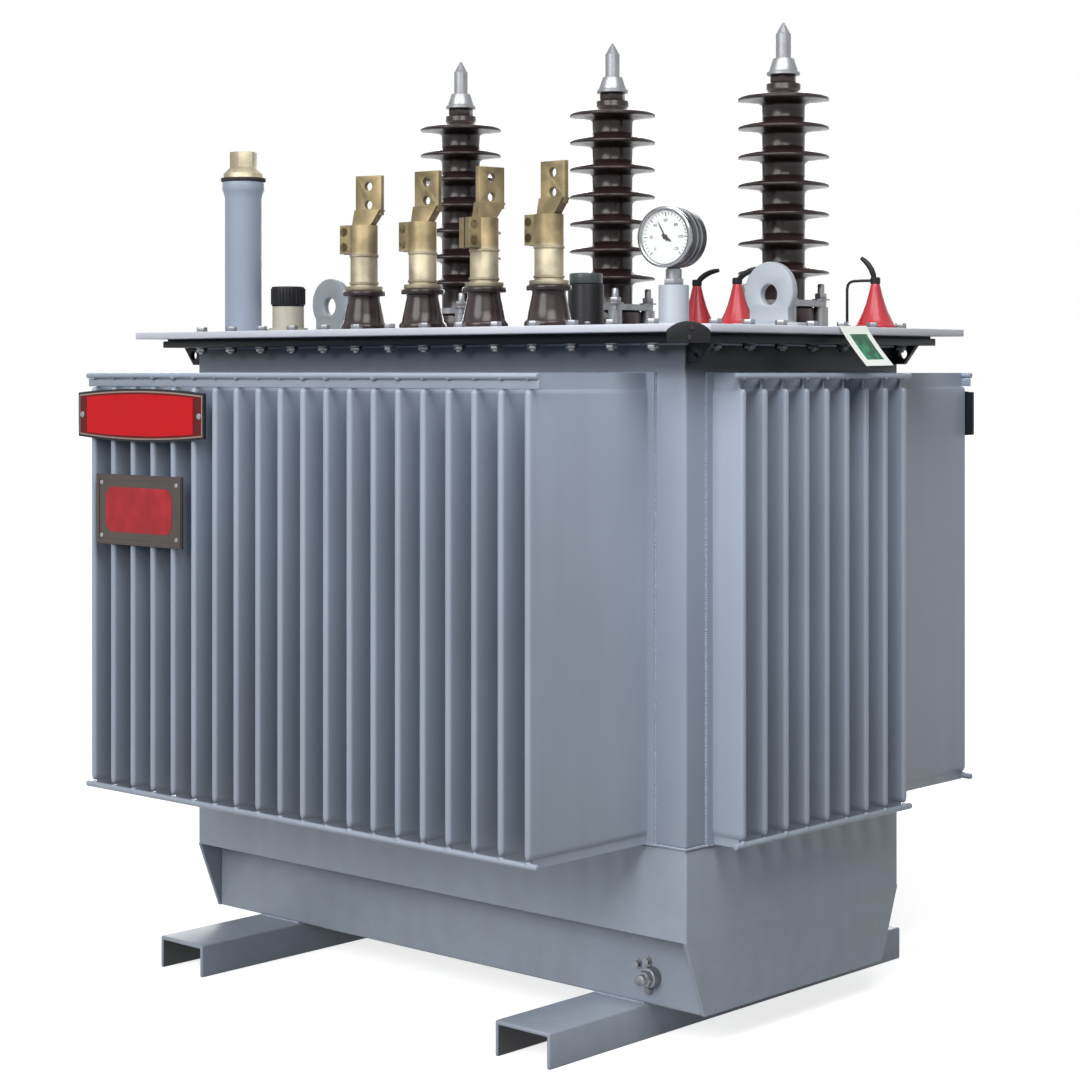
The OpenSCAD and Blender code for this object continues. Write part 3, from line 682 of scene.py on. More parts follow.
def ended_tree(graph, instances, material):
    """Realizes the instances, gives them their material and ends the tree."""
    real = graph.node("GeometryNodeRealizeInstances", inputs={"Geometry": instances})
    shown = graph.node("GeometryNodeSetMaterial", inputs={"Geometry": real, "Material": material})
    graph.node("NodeGroupOutput", inputs={0: shown})
    return graph.tree


def repeat_tree():
    """Tree that sets a template on every point, each with its own turn and size."""
    graph, given = started_tree("Repeat on points", {
        "Points": "Geometry", "Template": "Object", "Spin": "Float", "Size spread": "Float", "Seed": "Int",
        "Finish": "Material",
    })

    def random(least, most):
        return graph.node(
            "FunctionNodeRandomValue", {"data_type": "FLOAT"}, {2: least, 3: most, "Seed": given["Seed"]}, 1,
        )

    shape = graph.node("GeometryNodeObjectInfo", inputs={"Object": given["Template"]}, output="Geometry")
    spin = graph.node("ShaderNodeCombineXYZ", inputs={"Z": random(0.0, given["Spin"])})
    size = random(1 - given["Size spread"], 1 + given["Size spread"])
    placed = graph.node("GeometryNodeInstanceOnPoints", inputs={
        "Points": given["Points"], "Instance": shape, "Rotation": spin, "Scale": size,
    })
    return ended_tree(graph, placed, given["Finish"])


def row_tree():
    """Tree that sets a template along a straight row."""
    graph, given = started_tree("Row", {
        "Template": "Geometry", "Count": "Int", "First": "Vector", "Step": "Vector", "Finish": "Material",
    })
    line = graph.node(
        "GeometryNodeMeshLine", {"mode": "OFFSET"},
        {"Count": given["Count"], "Start Location": given["First"], "Offset": given["Step"]},
    )
    placed = graph.node(
        "GeometryNodeInstanceOnPoints", inputs={"Points": line, "Instance": given["Template"]},
    )
    return ended_tree(graph, placed, given["Finish"])


def grown_mesh(carrier_mesh, tree, values):
    """Plain mesh that a Geometry Nodes tree makes from a carrier."""
    carrier = link("carrier", carrier_mesh)
    modifier = carrier.modifiers.new("Nodes", "NODES")
    modifier.node_group = tree
    for item in tree.interface.items_tree:
        if item.in_out == "INPUT" and item.name in values:
            modifier[item.identifier] = values[item.name]
    return plain_mesh(carrier)


def repeat_on(points, template, finish_name, spin, seed, spread=0.0):
    """Mesh of a template that is repeated on points."""
    dots = bpy.data.meshes.new("points")
    dots.from_pydata([tuple(point) for point in points], [], [])
    holder = link("template", template)
    tree = bpy.data.node_groups.get("Repeat on points") or repeat_tree()
    made = grown_mesh(dots, tree, {
        "Template": holder, "Spin": spin, "Size spread": spread, "Seed": seed, "Finish": finish(finish_name),
    })
    bpy.data.objects.remove(holder)
    return made


def row_of(template, count, first, step, finish_name):
    """Mesh of a template that is repeated along a row."""
    return grown_mesh(template, bpy.data.node_groups.get("Row") or row_tree(), {
        "Count": count, "First": first, "Step": step, "Finish": finish(finish_name),
    })


def repeated_piece(name, points, template, finish_name, spin, seed, stands_for=(), slot=None):
    """Piece made of a template that is repeated on points."""
    mesh = repeat_on(points, template, finish_name, spin, seed)
    return place_piece(name, mesh, finish_name, stands_for, slot)


# Welds


def weld_points(lines):
    """Points along lines, about a ripple of a weld bead apart."""
    points = []
    for start, end in lines:
        start, end = Vector(start), Vector(end)
        count = max(2, round((end - start).length / sizes().weld_step) + 1)
        points += [start.lerp(end, i / (count - 1)) for i in range(count)]
    return points


def ripple(radius, stretch=(1, 1, 1)):
    """Template for one ripple of a weld bead: a coarse ball."""
    steps, around = 4, 8
    angles = (math.pi * i / steps for i in range(steps + 1))
    profile = [(radius * math.sin(angle), -radius * math.cos(angle)) for angle in angles]
    form = Form().turned(profile, Matrix.Diagonal((*stretch, 1)), around)
    return form.mesh("ripple", 80)


def weld_run(name, points, seed, template=None, spin=3.0, spread=0.08, at=UPRIGHT):
    """Piece of painted weld metal: a template, or a ripple of the usual size, on every point."""
    template = template or ripple(sizes().weld_radius)
    mesh = repeat_on(points, template, "weld_paint", spin, seed, spread)
    Form().add(mesh, at).piece(name, "weld_paint", slot="tank_paint", smooth_below=80)


# Pieces


class Wall:
    """One wall of the tank: a frame at the foot of its fins' middle, and its sizes.

    What faces -Y at the origin faces out of the wall in that frame.
    """

    def __init__(self, side):
        angle = {"front": 0, "right": 90, "back": 180, "left": 270}[side]
        back = turn(-angle)
        body = [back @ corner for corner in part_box("tank_body")]
        fins = [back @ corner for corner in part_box(f"{side}_fins")]
        middle = (fins[0].x + fins[1].x) / 2
        reach = -min(corner.y for corner in body)
        self.at = turn(angle) @ shift(middle, -reach, fins[0].z)
        self.half = abs(fins[1].x - fins[0].x) / 2
        self.depth = abs(fins[1].y - fins[0].y)
        self.height = fins[1].z - fins[0].z
        self.left = min(corner.x for corner in body) - middle
        self.right = max(corner.x for corner in body) - middle


class TRANSFORMER_OT_tank(bpy.types.Operator):
    """Make the skids, the tank, its rim and its cover"""

    bl_idname = "transformer.tank"
    bl_label = "Tank and skids"

    def execute(self, context):
        fold = sizes().fold_round
        for node in ("left_skid", "right_skid"):
            soften(node, "skid_paint", fold * 0.7, slot="tank_paint", segments=3)
        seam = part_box("base_end_plates")[1]

        def at_end_seam(point):
            return abs(point.z - seam.z) < 0.1 * MM and abs(point.x) > seam.x - 7 * MM

        soften("tank_base", "tank_paint", fold, segments=3, joint=at_end_seam)
        soften("base_end_plates", "tank_paint", joint=at_end_seam)
        soften("tank_body", "body_paint", fold, slot="tank_paint", segments=3)
        # The rim and the lugs are dark: their own dark paint and painted shadow of the cover
        soften("tank_rim", "rim_paint")
        soften("corner_lugs", "rim_paint")
        soften("gasket", "gasket_rubber", 0.8 * MM)
        soften("cover_plate", "cover_paint", slot="tank_paint")
        return {"FINISHED"}


class TRANSFORMER_OT_fins(bpy.types.Operator):
    """Make the four walls of cooling fins with their rods"""

    bl_idname = "transformer.fins"
    bl_label = "Cooling fins"

    def outline(self, depth, half):
        """Outline of a fin seen from above, round its tip and along the wall."""
        root, steps = sizes().fin_root, 8
        left = [(-half - root, 0), (-half - root * 0.3, -root * 0.3), (-half, -root)]
        angles = (math.pi * i / steps for i in range(steps + 1))
        tip = [(-half * math.cos(angle), half - depth - half * math.sin(angle)) for angle in angles]
        return left + tip + [(-x, y) for x, y in left[::-1]]

    def fin(self, depth, height):
        """One fin at the origin, facing -Y."""
        look = sizes()
        full, seam = look.fin_thickness / 2, look.seam_thickness / 2
        short = depth - look.rod_diameter - 0.3 * MM

        def swell(start, slope):
            """Levels of one end, from its seam to the full fin: height, half thickness and depth."""
            return [
                (0, seam, short), (start, seam, short), (start + slope * 0.15, seam * 1.1, depth - 2 * MM),
                (start + slope * 0.5, (seam + full) * 0.6, depth - 0.4 * MM), (start + slope, full, depth),
            ]

        levels = swell(look.foot_seam, look.foot_slope)
        levels += [(height - z, half, reach) for z, half, reach in swell(look.top_seam, look.top_slope)[::-1]]
        form = Form().loft([
            [(x, y, z) for x, y in self.outline(reach, half)] for z, half, reach in levels
        ])
        return form.mesh("fin", 50)

    def execute(self, context):
        look = sizes()
        for side in SIDES:
            wall = Wall(side)
            count = int((2 * wall.half - look.fin_thickness) / look.fin_pitch) + 1
            first = Vector((-look.fin_pitch * (count - 1) / 2, 0, 0))
            step = Vector((look.fin_pitch, 0, 0))
            form = Form()
            form.box((-wall.half, -look.sheet_thickness, 0), (wall.half, 0, wall.height)).rounded(0.8 * MM)
            form.add(row_of(self.fin(wall.depth, wall.height), count, first, step, "tank_paint"))
            form.bm.transform(wall.at)
            form.piece(f"{side}_cooling_fins", "tank_paint", (f"{side}_fins",), smooth_below=50)
            soften(f"{side}_rods", "tank_paint", 0.8 * MM)
            self.dabs(side, wall, [first + step * i for i in range(count)])
        return {"FINISHED"}

    def dabs(self, side, wall, fins):
        """Weld dabs that hold the rods to each fin tip."""
        middle = sizes().rod_diameter / 2
        tips = [
            fin + Vector((0, middle * 0.9 - wall.depth, z))
            for fin in fins for z in (middle * 1.6, wall.height - middle * 1.6)
        ]
        dab = ripple(4.2 * MM, (1.15, 0.8, 0.8))
        weld_run(f"{side}_rod_welds", tips, 7, dab, spin=0.6, spread=0.18, at=wall.at)


class TRANSFORMER_OT_welds(bpy.types.Operator):
    """Run the weld beads round the tank"""

    bl_idname = "transformer.welds"
    bl_label = "Weld beads"

    def execute(self, context):
        for side in SIDES:
            weld_run(f"{side}_weld_beads", self.fin_seams(Wall(side)), 3)
        heavy = ripple(sizes().weld_radius * 1.1)
        weld_run("collar_weld_beads", weld_points(self.collar() + self.skid_seams()), 5, heavy)
        return {"FINISHED"}

    def fin_seams(self, wall):
        """Points round a sheet of fins, and along the fold beside its foot."""
        surface = -sizes().sheet_thickness / 2
        half, height = wall.half, wall.height
        lines = [((x, 0, 0), (x, 0, height)) for x in (-half, half)]
        lines += [((-half, surface, z), (half, surface, z)) for z in (0, height)]
        lines += [((wall.left, 0, 0), (-half, 0, 0)), ((half, 0, 0), (wall.right, 0, 0))]
        return [wall.at @ point for point in weld_points(lines)]

    def collar(self):
        """Lines round the tank under its rim."""
        low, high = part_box("tank_body")
        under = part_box("tank_rim")[0].z - sizes().weld_radius * 0.3
        corners = [
            (low.x, low.y, under), (high.x, low.y, under), (high.x, high.y, under), (low.x, high.y, under),
        ]
        return list(zip(corners, corners[1:] + corners[:1]))

    def skid_seams(self):
        """Lines across each skid, at the foot of the trough."""
        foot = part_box("tank_base")[0].z
        trough = frame["nodes"]["tank_base"].data
        reach = max(abs(vert.co.y) for vert in trough.vertices if vert.co.z < foot + 1 * MM)
        wall = sizes().skid_wall
        boxes = [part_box(node) for node in ("left_skid", "right_skid")]
        return [
            ((low.x + wall, y, high.z), (high.x - wall, y, high.z))
            for low, high in boxes for y in (-reach, reach)
        ]


class TRANSFORMER_OT_cover_bolts(bpy.types.Operator):
    """Set the bolts round the cover"""

    bl_idname = "transformer.cover_bolts"
    bl_label = "Cover bolts"

    def bolt(self, grip):
        """Bolt whose head rests at z = 0, with its washer, nut and thread end under the rim."""
        radius = sizes().bolt_radius
        washer, corners, sheet = radius * 1.85, radius * 1.65, 1.4 * MM
        end = -grip - 10 * MM
        form = Form()
        form.disc(washer, 0, sheet, segments=20)
        form.hexagon(corners, sheet, sheet + radius * 1.25)
        form.disc(washer, -grip - sheet, -grip, segments=20)
        form.hexagon(corners, -grip - 7 * MM, -grip - sheet)
        form.turned(
            [(0, end), (radius * 0.8, end), (radius, end + 1 * MM), (radius, -grip), (0, -grip)], segments=12,
        )
        return form.mesh("bolt")

    def execute(self, context):
        look = sizes()
        pitch = look.bolt_pitch
        rim_low, rim_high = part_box("tank_rim")
        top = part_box("cover_plate")[1].z
        x_edge, y_edge = rim_high.x - look.bolt_inset, rim_high.y - look.bolt_inset - 2 * MM
        side_count = int(2 * (x_edge - pitch * 0.6) / pitch) + 1
        end_count = int(2 * (y_edge - pitch * 0.6) / pitch) + 1
        places = []
        for i in range(side_count):
            x = (i - (side_count - 1) / 2) * pitch
            places += [(x, -y_edge, top), (x, y_edge, top)]
        for i in range(end_count):
            y = (i - (end_count - 1) / 2) * pitch * 1.012
            places += [(-x_edge, y, top), (x_edge, y, top)]
        bolt = self.bolt(top - rim_low.z)
        repeated_piece("cover_bolts", places, bolt, "bolt_steel", HEX_TURN, 11, slot="zinc_steel")
        return {"FINISHED"}


class TRANSFORMER_OT_cover_fittings(bpy.types.Operator):
    """Make the lifting eyes, the bond plate and the earthing boss"""

    bl_idname = "transformer.cover_fittings"
    bl_label = "Eyes and bonds"

    def execute(self, context):
        for side in ("left", "right"):
            self.lifting_eye(side)
        self.bond()
        self.earth_terminal()
        return {"FINISHED"}

    def lifting_eye(self, side):
        """Eye with weld beads beside its disc and along the edges of its foot."""
        node = f"{side}_lifting_eye"
        soften(node, "eye_paint", 1.5 * MM, slot="tank_paint")
        low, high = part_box(node)
        middle = (low.x + high.x) / 2
        reach, beside = 31 * MM, 6.5 * MM
        disc_z = low.z + beside
        lines = [((middle - reach, y, disc_z), (middle + reach, y, disc_z)) for y in (-beside, beside)]
        lines += [((low.x, y, low.z), (high.x, y, low.z)) for y in (low.y, high.y)]
        weld_run(f"{side}_eye_welds", weld_points(lines), 13)

    def bond(self):
        """Bond plate across the cover's corner, with a screw over and a screw under the cover."""
        soften("corner_bond", "black_plastic", 1 * MM)
        middle = middle_of("corner_bond")
        mesh = frame["nodes"]["corner_bond"].data
        reach = max((vert.co.x - vert.co.y) / math.sqrt(2) for vert in mesh.vertices)
        outwards = reach - (middle.x - middle.y) / math.sqrt(2)
        spot = shift(middle.x, middle.y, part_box("cover_plate")[0].z)
        form = Form()
        for across, height in mm((4, 5), (1, -7)):
            at = spot @ shift(z=height) @ turn(45) @ shift(across, -outwards, 0) @ turn(90, "X")
            form.hexagon(3 * MM, -1 * MM, 2.2 * MM, at)
        form.piece("corner_bond_screws", "dark_metal", slot="zinc_steel")

    def earth_terminal(self):
        soften("earth_terminal", "zinc_steel", 0.8 * MM)
        middle = middle_of("earth_terminal")
        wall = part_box("earth_terminal")[1].y
        at = shift(middle.x, wall, middle.z) @ turn(90, "X")
        form = Form().hexagon(11 * MM, 14.2 * MM, 21 * MM, at)
        for x, z in mm((-26, 12), (-24, -10), (-9, 18), (-7, -19)):
            spot = at @ shift(x, z)
            form.disc(6.5 * MM, 0, 1.5 * MM, spot, 16)
            form.hexagon(5 * MM, 1.5 * MM, 6 * MM, spot, spin=0.4)
        form.piece("earth_terminal_nuts", "zinc_steel")


class TRANSFORMER_OT_high_voltage(bpy.types.Operator):
    """Make the three high-voltage bushings with their terminals and clamps"""

    bl_idname = "transformer.high_voltage"
    bl_label = "High-voltage bushings"

    shed_count: IntProperty(name="Sheds", description="Number of sheds", default=7, min=1, max=12)
    shed_pitch: length_property("Shed pitch", "Distance between two sheds", 41.3)

    def porcelain(self):
        """Half outline of the porcelain, foot, stem with sheds and head, and its height."""
        stem, shed, neck, first = 31, 66, 25, 84
        pitch = self.shed_pitch / MM
        outline = [(0, 0), (43, 0), (44, 1), (44, 30), (41, 33), (stem + 2, 34), (stem, 37)]
        for i in range(self.shed_count):
            z = first + i * pitch
            over = stem if i < self.shed_count - 1 else neck
            outline += [
                (stem, z - 13), (stem + 1.2, z - 10.4), (stem + 5, z - 8.2), (shed - 10, z - 5.6),
                (shed - 3, z - 5), (shed - 0.8, z - 4.4), (shed, z - 2.6), (shed - 0.7, z - 0.8),
                (shed - 3, z + 0.8), (shed - 16, z + 3.6), (over + 6, z + 7.4), (over + 1.6, z + 9.8),
                (over, z + 13),
            ]
        top = z + 20
        outline += [(neck, top - 1.6), (neck - 0.4, top - 0.5), (neck - 1.4, top), (0, top)]
        return mm(*outline), top * MM

    def execute(self, context):
        outline, top = self.porcelain()
        studs = []
        for i in (1, 2, 3):
            base = foot_of(f"hv_bushing_{i}")
            Form().turned(outline, base, 96).piece(
                f"hv_porcelain_{i}", "brown_porcelain", (f"hv_bushing_{i}",), smooth_below=50,
            )
            self.terminal(i, base @ shift(z=top))
            studs += [(base @ turn(45 + 90 * corner) @ shift(54 * MM)).translation for corner in range(4)]
            self.clamp_ring(i, base)
        repeated_piece("hv_clamp_studs", studs, self.stud(), "zinc_steel", HEX_TURN, 17, ("hv_clamps",))
        return {"FINISHED"}

    def stud(self):
        """Clamp stud: spacer, washer, nut and thread end."""
        form = Form()
        form.disc(10.5 * MM, 0, 33 * MM, segments=20)
        form.disc(13 * MM, 42.5 * MM, 44.5 * MM, segments=20)
        form.hexagon(9.2 * MM, 44.5 * MM, 52.5 * MM)
        form.turned(mm((0, 52), (5, 52), (5, 64.5), (4, 66), (0, 66)), segments=14)
        return form.mesh("stud")

    def clamp_ring(self, i, base):
        """Clamp ring with a lobe at each stud."""
        count, lobes = 64, 4
        angles = [math.tau * step / count for step in range(count)]
        reaches = [max(0.0, math.cos(lobes * angle - math.pi)) ** 2 for angle in angles]
        outer = [
            ((47 + 15 * reach) * MM * math.cos(angle), (47 + 15 * reach) * MM * math.sin(angle))
            for angle, reach in zip(angles, reaches)
        ]
        form = Form()
        rows = [
            [form.bm.verts.new(base @ Vector((x, y, z))) for x, y in loop]
            for z in (33.4 * MM, 42.4 * MM) for loop in (outer, ring(32 * MM, count))
        ]
        low_out, low_in, high_out, high_in = rows
        for a, b in ((low_out, high_out), (high_out, high_in), (high_in, low_in), (low_in, low_out)):
            for k in range(count):
                n = (k + 1) % count
                form.bm.faces.new((a[k], a[n], b[n], b[k]))
        form.rounded(1 * MM, 60)
        form.piece(f"hv_clamp_ring_{i}", "zinc_steel")

    def terminal(self, i, at):
        """Nut, washer, collar and pin."""
        # The nut's dark finish is painted shadow of the washer that overhangs it
        nut = Form().hexagon(20 * MM, 0, 12.4 * MM, at)
        nut.piece(f"hv_terminal_{i}_nut", "dark_metal", slot="zinc_steel")
        profile = mm(
            (0, 12), (23.2, 12), (24, 12.8), (24, 16.2), (23.2, 17), (20.5, 17.2), (20.5, 20), (16, 34),
            (15, 36), (11.4, 36.4), (11, 37), (11, 71), (10, 72.4), (8.6, 75), (4.6, 82), (2.4, 86),
            (1.2, 87.6), (0, 88),
        )
        Form().turned(profile, at, 40).piece(
            f"hv_terminal_{i}_turned", "zinc_steel", (f"hv_terminal_{i}",), smooth_below=32,
        )


class TRANSFORMER_OT_low_voltage(bpy.types.Operator):
    """Make the four low-voltage bushings with their terminals"""

    bl_idname = "transformer.low_voltage"
    bl_label = "Low-voltage bushings"

    def execute(self, context):
        profile = mm(
            (0, 0), (33.2, 0), (34, 0.8), (34, 7.4), (33, 9.4), (30.5, 12), (27.4, 26), (25.2, 37),
            (23.6, 44), (23, 48), (23.2, 50), (25, 51), (30.2, 51.2), (31, 52.2), (31, 57), (30, 58.4),
            (27.5, 59), (0, 59),
        )
        top = profile[-1][1]
        flag_turns = (14, 6, 80, 0)
        for i, angle in enumerate(flag_turns, 1):
            base = foot_of(f"lv_bushing_{i}")
            Form().turned(profile, base, 72).piece(
                f"lv_porcelain_{i}", "brown_porcelain", (f"lv_bushing_{i}",), smooth_below=50,
            )
            soften(f"lv_terminal_{i}", "terminal_brass", 1.1 * MM, slot="brass")
            self.fasteners(i, base @ turn(angle) @ shift(z=top))
        return {"FINISHED"}

    def fasteners(self, i, at):
        """Clamp screws, rings of the barrel and the slit of the clamp."""
        screws = Form()
        for z in (64 * MM, 86 * MM):
            for side in (-1, 1):
                spot = at @ shift(-27 * MM, side * 13 * MM, z) @ turn(90 * side, "X")
                screws.disc(6.4 * MM, 0, 1.2 * MM, spot, 20)
                screws.hexagon(5.6 * MM, 1.2 * MM, 5 * MM, spot, spin=0.3 * side)
        screws.piece(f"lv_clamp_screws_{i}", "brass")
        rings = Form()
        for z in (9 * MM, 49 * MM):
            rings.band(21.4 * MM, 0.8 * MM, z, z + 3.8 * MM, 0.8 * MM, at, 48)
        rings.piece(f"lv_barrel_rings_{i}", "terminal_brass", slot="brass")
        slit = Form().box(*mm((-34.2, -1, 53.6), (-20, 1, 96.2)), at)
        slit.piece(f"lv_clamp_slit_{i}", "black_plastic")


class TRANSFORMER_OT_filler(bpy.types.Operator):
    """Make the filler and the test pocket"""

    bl_idname = "transformer.filler"
    bl_label = "Filler and pocket"

    def execute(self, context):
        soften("filler_tube", "tank_paint", 0.9 * MM)
        soften("filler_cap", "pale_brass", 0.9 * MM, slot="brass")
        low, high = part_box("filler_tube")
        centre = (low + high) / 2
        foot = [(centre.x + x, centre.y + y, low.z) for x, y in ring(28 * MM, 44)]
        weld_run("filler_foot_weld", foot, 19)
        seal = mm((0, 0), (33.6, 0), (34.2, 1), (34.2, 4), (33.6, 5.2), (0, 5.2))
        Form().turned(seal, shift(centre.x, centre.y, high.z)).piece("filler_seal", "gasket_rubber")
        soften("test_pocket", "cream_plastic", 1 * MM)
        soften("test_pocket_cap", "black_plastic", 1.5 * MM)
        centre = middle_of("test_pocket_cap")
        places = [(centre.x + x, centre.y + y, centre.z) for x, y in ring(25 * MM, 30)]
        rib = Form().box(*mm((-0.9, -0.9, -12), (0.9, 0.9, 12))).rounded(0.4 * MM).mesh("rib")
        repeated_piece("test_pocket_cap_ribs", places, rib, "black_plastic", 1.5, 23)
        return {"FINISHED"}


class TRANSFORMER_OT_thermometer(bpy.types.Operator):
    """Make the dial thermometer and its pocket"""

    bl_idname = "transformer.thermometer"
    bl_label = "Thermometer"

    facing: FloatProperty(
        name="Facing", description="Turn of the dial towards the right end", default=math.radians(10),
        subtype="ANGLE",
    )

    def execute(self, context):
        soften("thermometer_pocket", "eye_paint", 1 * MM, slot="cream_plastic")
        soften("thermometer_case", "gauge_grey", 2.2 * MM)
        soften("thermometer_bezel", "bright_bezel", 1.2 * MM)
        middle = middle_of("thermometer_pocket")
        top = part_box("thermometer_pocket")[1].z
        foot = shift(middle.x, middle.y, top) @ Matrix.Rotation(self.facing, 4, "Z")
        case = foot @ shift(z=65 * MM) @ turn(90, "X")
        face = case @ shift(z=22 * MM)
        Form().disc(37.2 * MM, 0, 0.6 * MM, face).piece("dial", "dial_face")
        self.marks(face)
        Form().disc(36.8 * MM, 4.6 * MM, 5.6 * MM, face).piece("dial_glass", "clear_glass")
        nut = Form().hexagon(15 * MM, -1 * MM, 9 * MM, foot).disc(11 * MM, 9 * MM, 22 * MM, foot)
        nut.piece("thermometer_nut", "zinc_steel")
        bands = Form()
        for z in (-6 * MM, 6 * MM):
            bands.band(41.9 * MM, 0.5 * MM, z - 2 * MM, z + 2 * MM, 1 * MM, case)
        bands.piece("thermometer_case_bands", "zinc_steel", slot="bright_bezel")
        return {"FINISHED"}

    def marks(self, face):
        """Graduations, plain numbers and the two pointers."""
        zero, sweep, steps, numbers = 225, 270, 30, 6
        form = Form()
        for i in range(steps + 1):
            long_mark = i % 5 == 0
            inner, half = (28.5 * MM, 0.55 * MM) if long_mark else (31 * MM, 0.3 * MM)
            at = face @ turn(zero - sweep * i / steps)
            form.box((inner, -half, 0.6 * MM), (34 * MM, half, 0.9 * MM), at)
        for angle, reach, half in ((118, 25, 0.9), (-34, 12, 1.6)):
            outline = mm((-6, -half), (reach * 0.7, -half), (reach, 0), (reach * 0.7, half), (-6, half))
            form.prism(outline, 1.6 * MM, 2.2 * MM, face @ turn(angle))
        form.disc(3.4 * MM, 0.6 * MM, 3 * MM, face, 24)
        for i in range(numbers + 1):
            angle = math.radians(zero - sweep * i / numbers)
            spot = shift(23 * MM * math.cos(angle), 23 * MM * math.sin(angle), 0.65 * MM)
            form.add(self.number(20 * i), face @ spot)
        form.piece("dial_marks", "black_plastic")

    def number(self, value):
        """Raised mesh of a number."""
        letters = bpy.data.curves.new("number", "FONT")
        letters.body = str(value)
        letters.size = 6 * MM
        letters.align_x = "CENTER"
        letters.align_y = "CENTER"
        form = Form().add(plain_mesh(link("number", letters)))
        raised = bmesh.ops.extrude_face_region(form.bm, geom=form.bm.faces[:])
        for vert in (part for part in raised["geom"] if isinstance(part, bmesh.types.BMVert)):
            vert.co.z += 0.3 * MM
        return form.mesh("number")


class TRANSFORMER_OT_tap_changer(bpy.types.Operator):
    """Make the tap changer"""

    bl_idname = "transformer.tap_changer"
    bl_label = "Tap changer"

    def execute(self, context):
        soften("tap_changer", "black_plastic", 1.4 * MM)
        soften("tap_changer_knob", "gauge_grey", 2 * MM)
        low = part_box("tap_changer")[0]
        centre = middle_of("tap_changer")
        corners = [
            (centre.x + x, centre.y + y, low.z + 8 * MM)
            for x, y in mm((-22, -22), (-22, 22), (22, -22), (22, 22))
        ]
        screw = Form().hexagon(4.5 * MM, 0, 4 * MM).mesh("screw")
        repeated_piece("tap_changer_screws", corners, screw, "zinc_steel", 1.0, 29)
        knob_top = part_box("tap_changer_knob")[1].z
        at = shift(centre.x, centre.y, knob_top - 0.05 * MM) @ turn(30)
        bar = Form().box(*mm((-20, -3.5, 0), (20, 3.5, 0.1)), at)
        bar.piece("tap_changer_pointer", "black_plastic")
        return {"FINISHED"}


class TRANSFORMER_OT_relief_valves(bpy.types.Operator):
    """Make the relief valves with their levers"""

    bl_idname = "transformer.relief_valves"
    bl_label = "Relief valves"

    def execute(self, context):
        hood = mm(
            (0, 0), (28.4, 0), (29, 0.8), (29, 4.2), (28.2, 5), (26.6, 6.4), (23.2, 12), (18.2, 22),
            (13.6, 34), (10, 46), (7.6, 56), (6.8, 60), (6, 62), (0, 62),
        )
        knob = mm((0, 62), (6.4, 62), (7, 62.8), (7, 69.6), (5.8, 71), (0, 71))
        wire = mm(
            (-2, 0, 66.5), (-20, 0, 66.5), (-31, 0, 66), (-36, 0, 64.4), (-39, 0, 60.6), (-40, 0, 54),
            (-40, 0, 30), (-40, 0, 0.4),
        )
        handle = mm((-1.6, 0, 0), (0.6, 0, 7), (1.4, 0, 15), (0.6, 0, 23), (-1.4, 0, 30), (-4.2, 0, 36))
        handle_radii = [radius * MM for radius in (3.4, 4, 4, 3.8, 3.4, 2.6)]
        levers = Form()
        turns = ((313, 200, 58), (313, 200, 58), (20, 20, 27))
        for i, (wire_turn, handle_turn, lean) in enumerate(turns, 1):
            base = foot_of(f"relief_valve_{i}")
            Form().turned(hood, base, 56).piece(
                f"relief_hood_{i}", "red_plastic", (f"relief_valve_{i}",), smooth_below=50,
            )
            levers.turned(knob, base, 28)
            at = base @ turn(wire_turn)
            levers.tube([at @ Vector(point) for point in wire], [2 * MM] * len(wire))
            at = base @ turn(handle_turn) @ shift(z=68 * MM) @ turn(-lean, "Y")
            levers.tube([at @ Vector(point) for point in handle], handle_radii)
        levers.piece("relief_lever_wires", "black_plastic", ("relief_levers",))
        return {"FINISHED"}


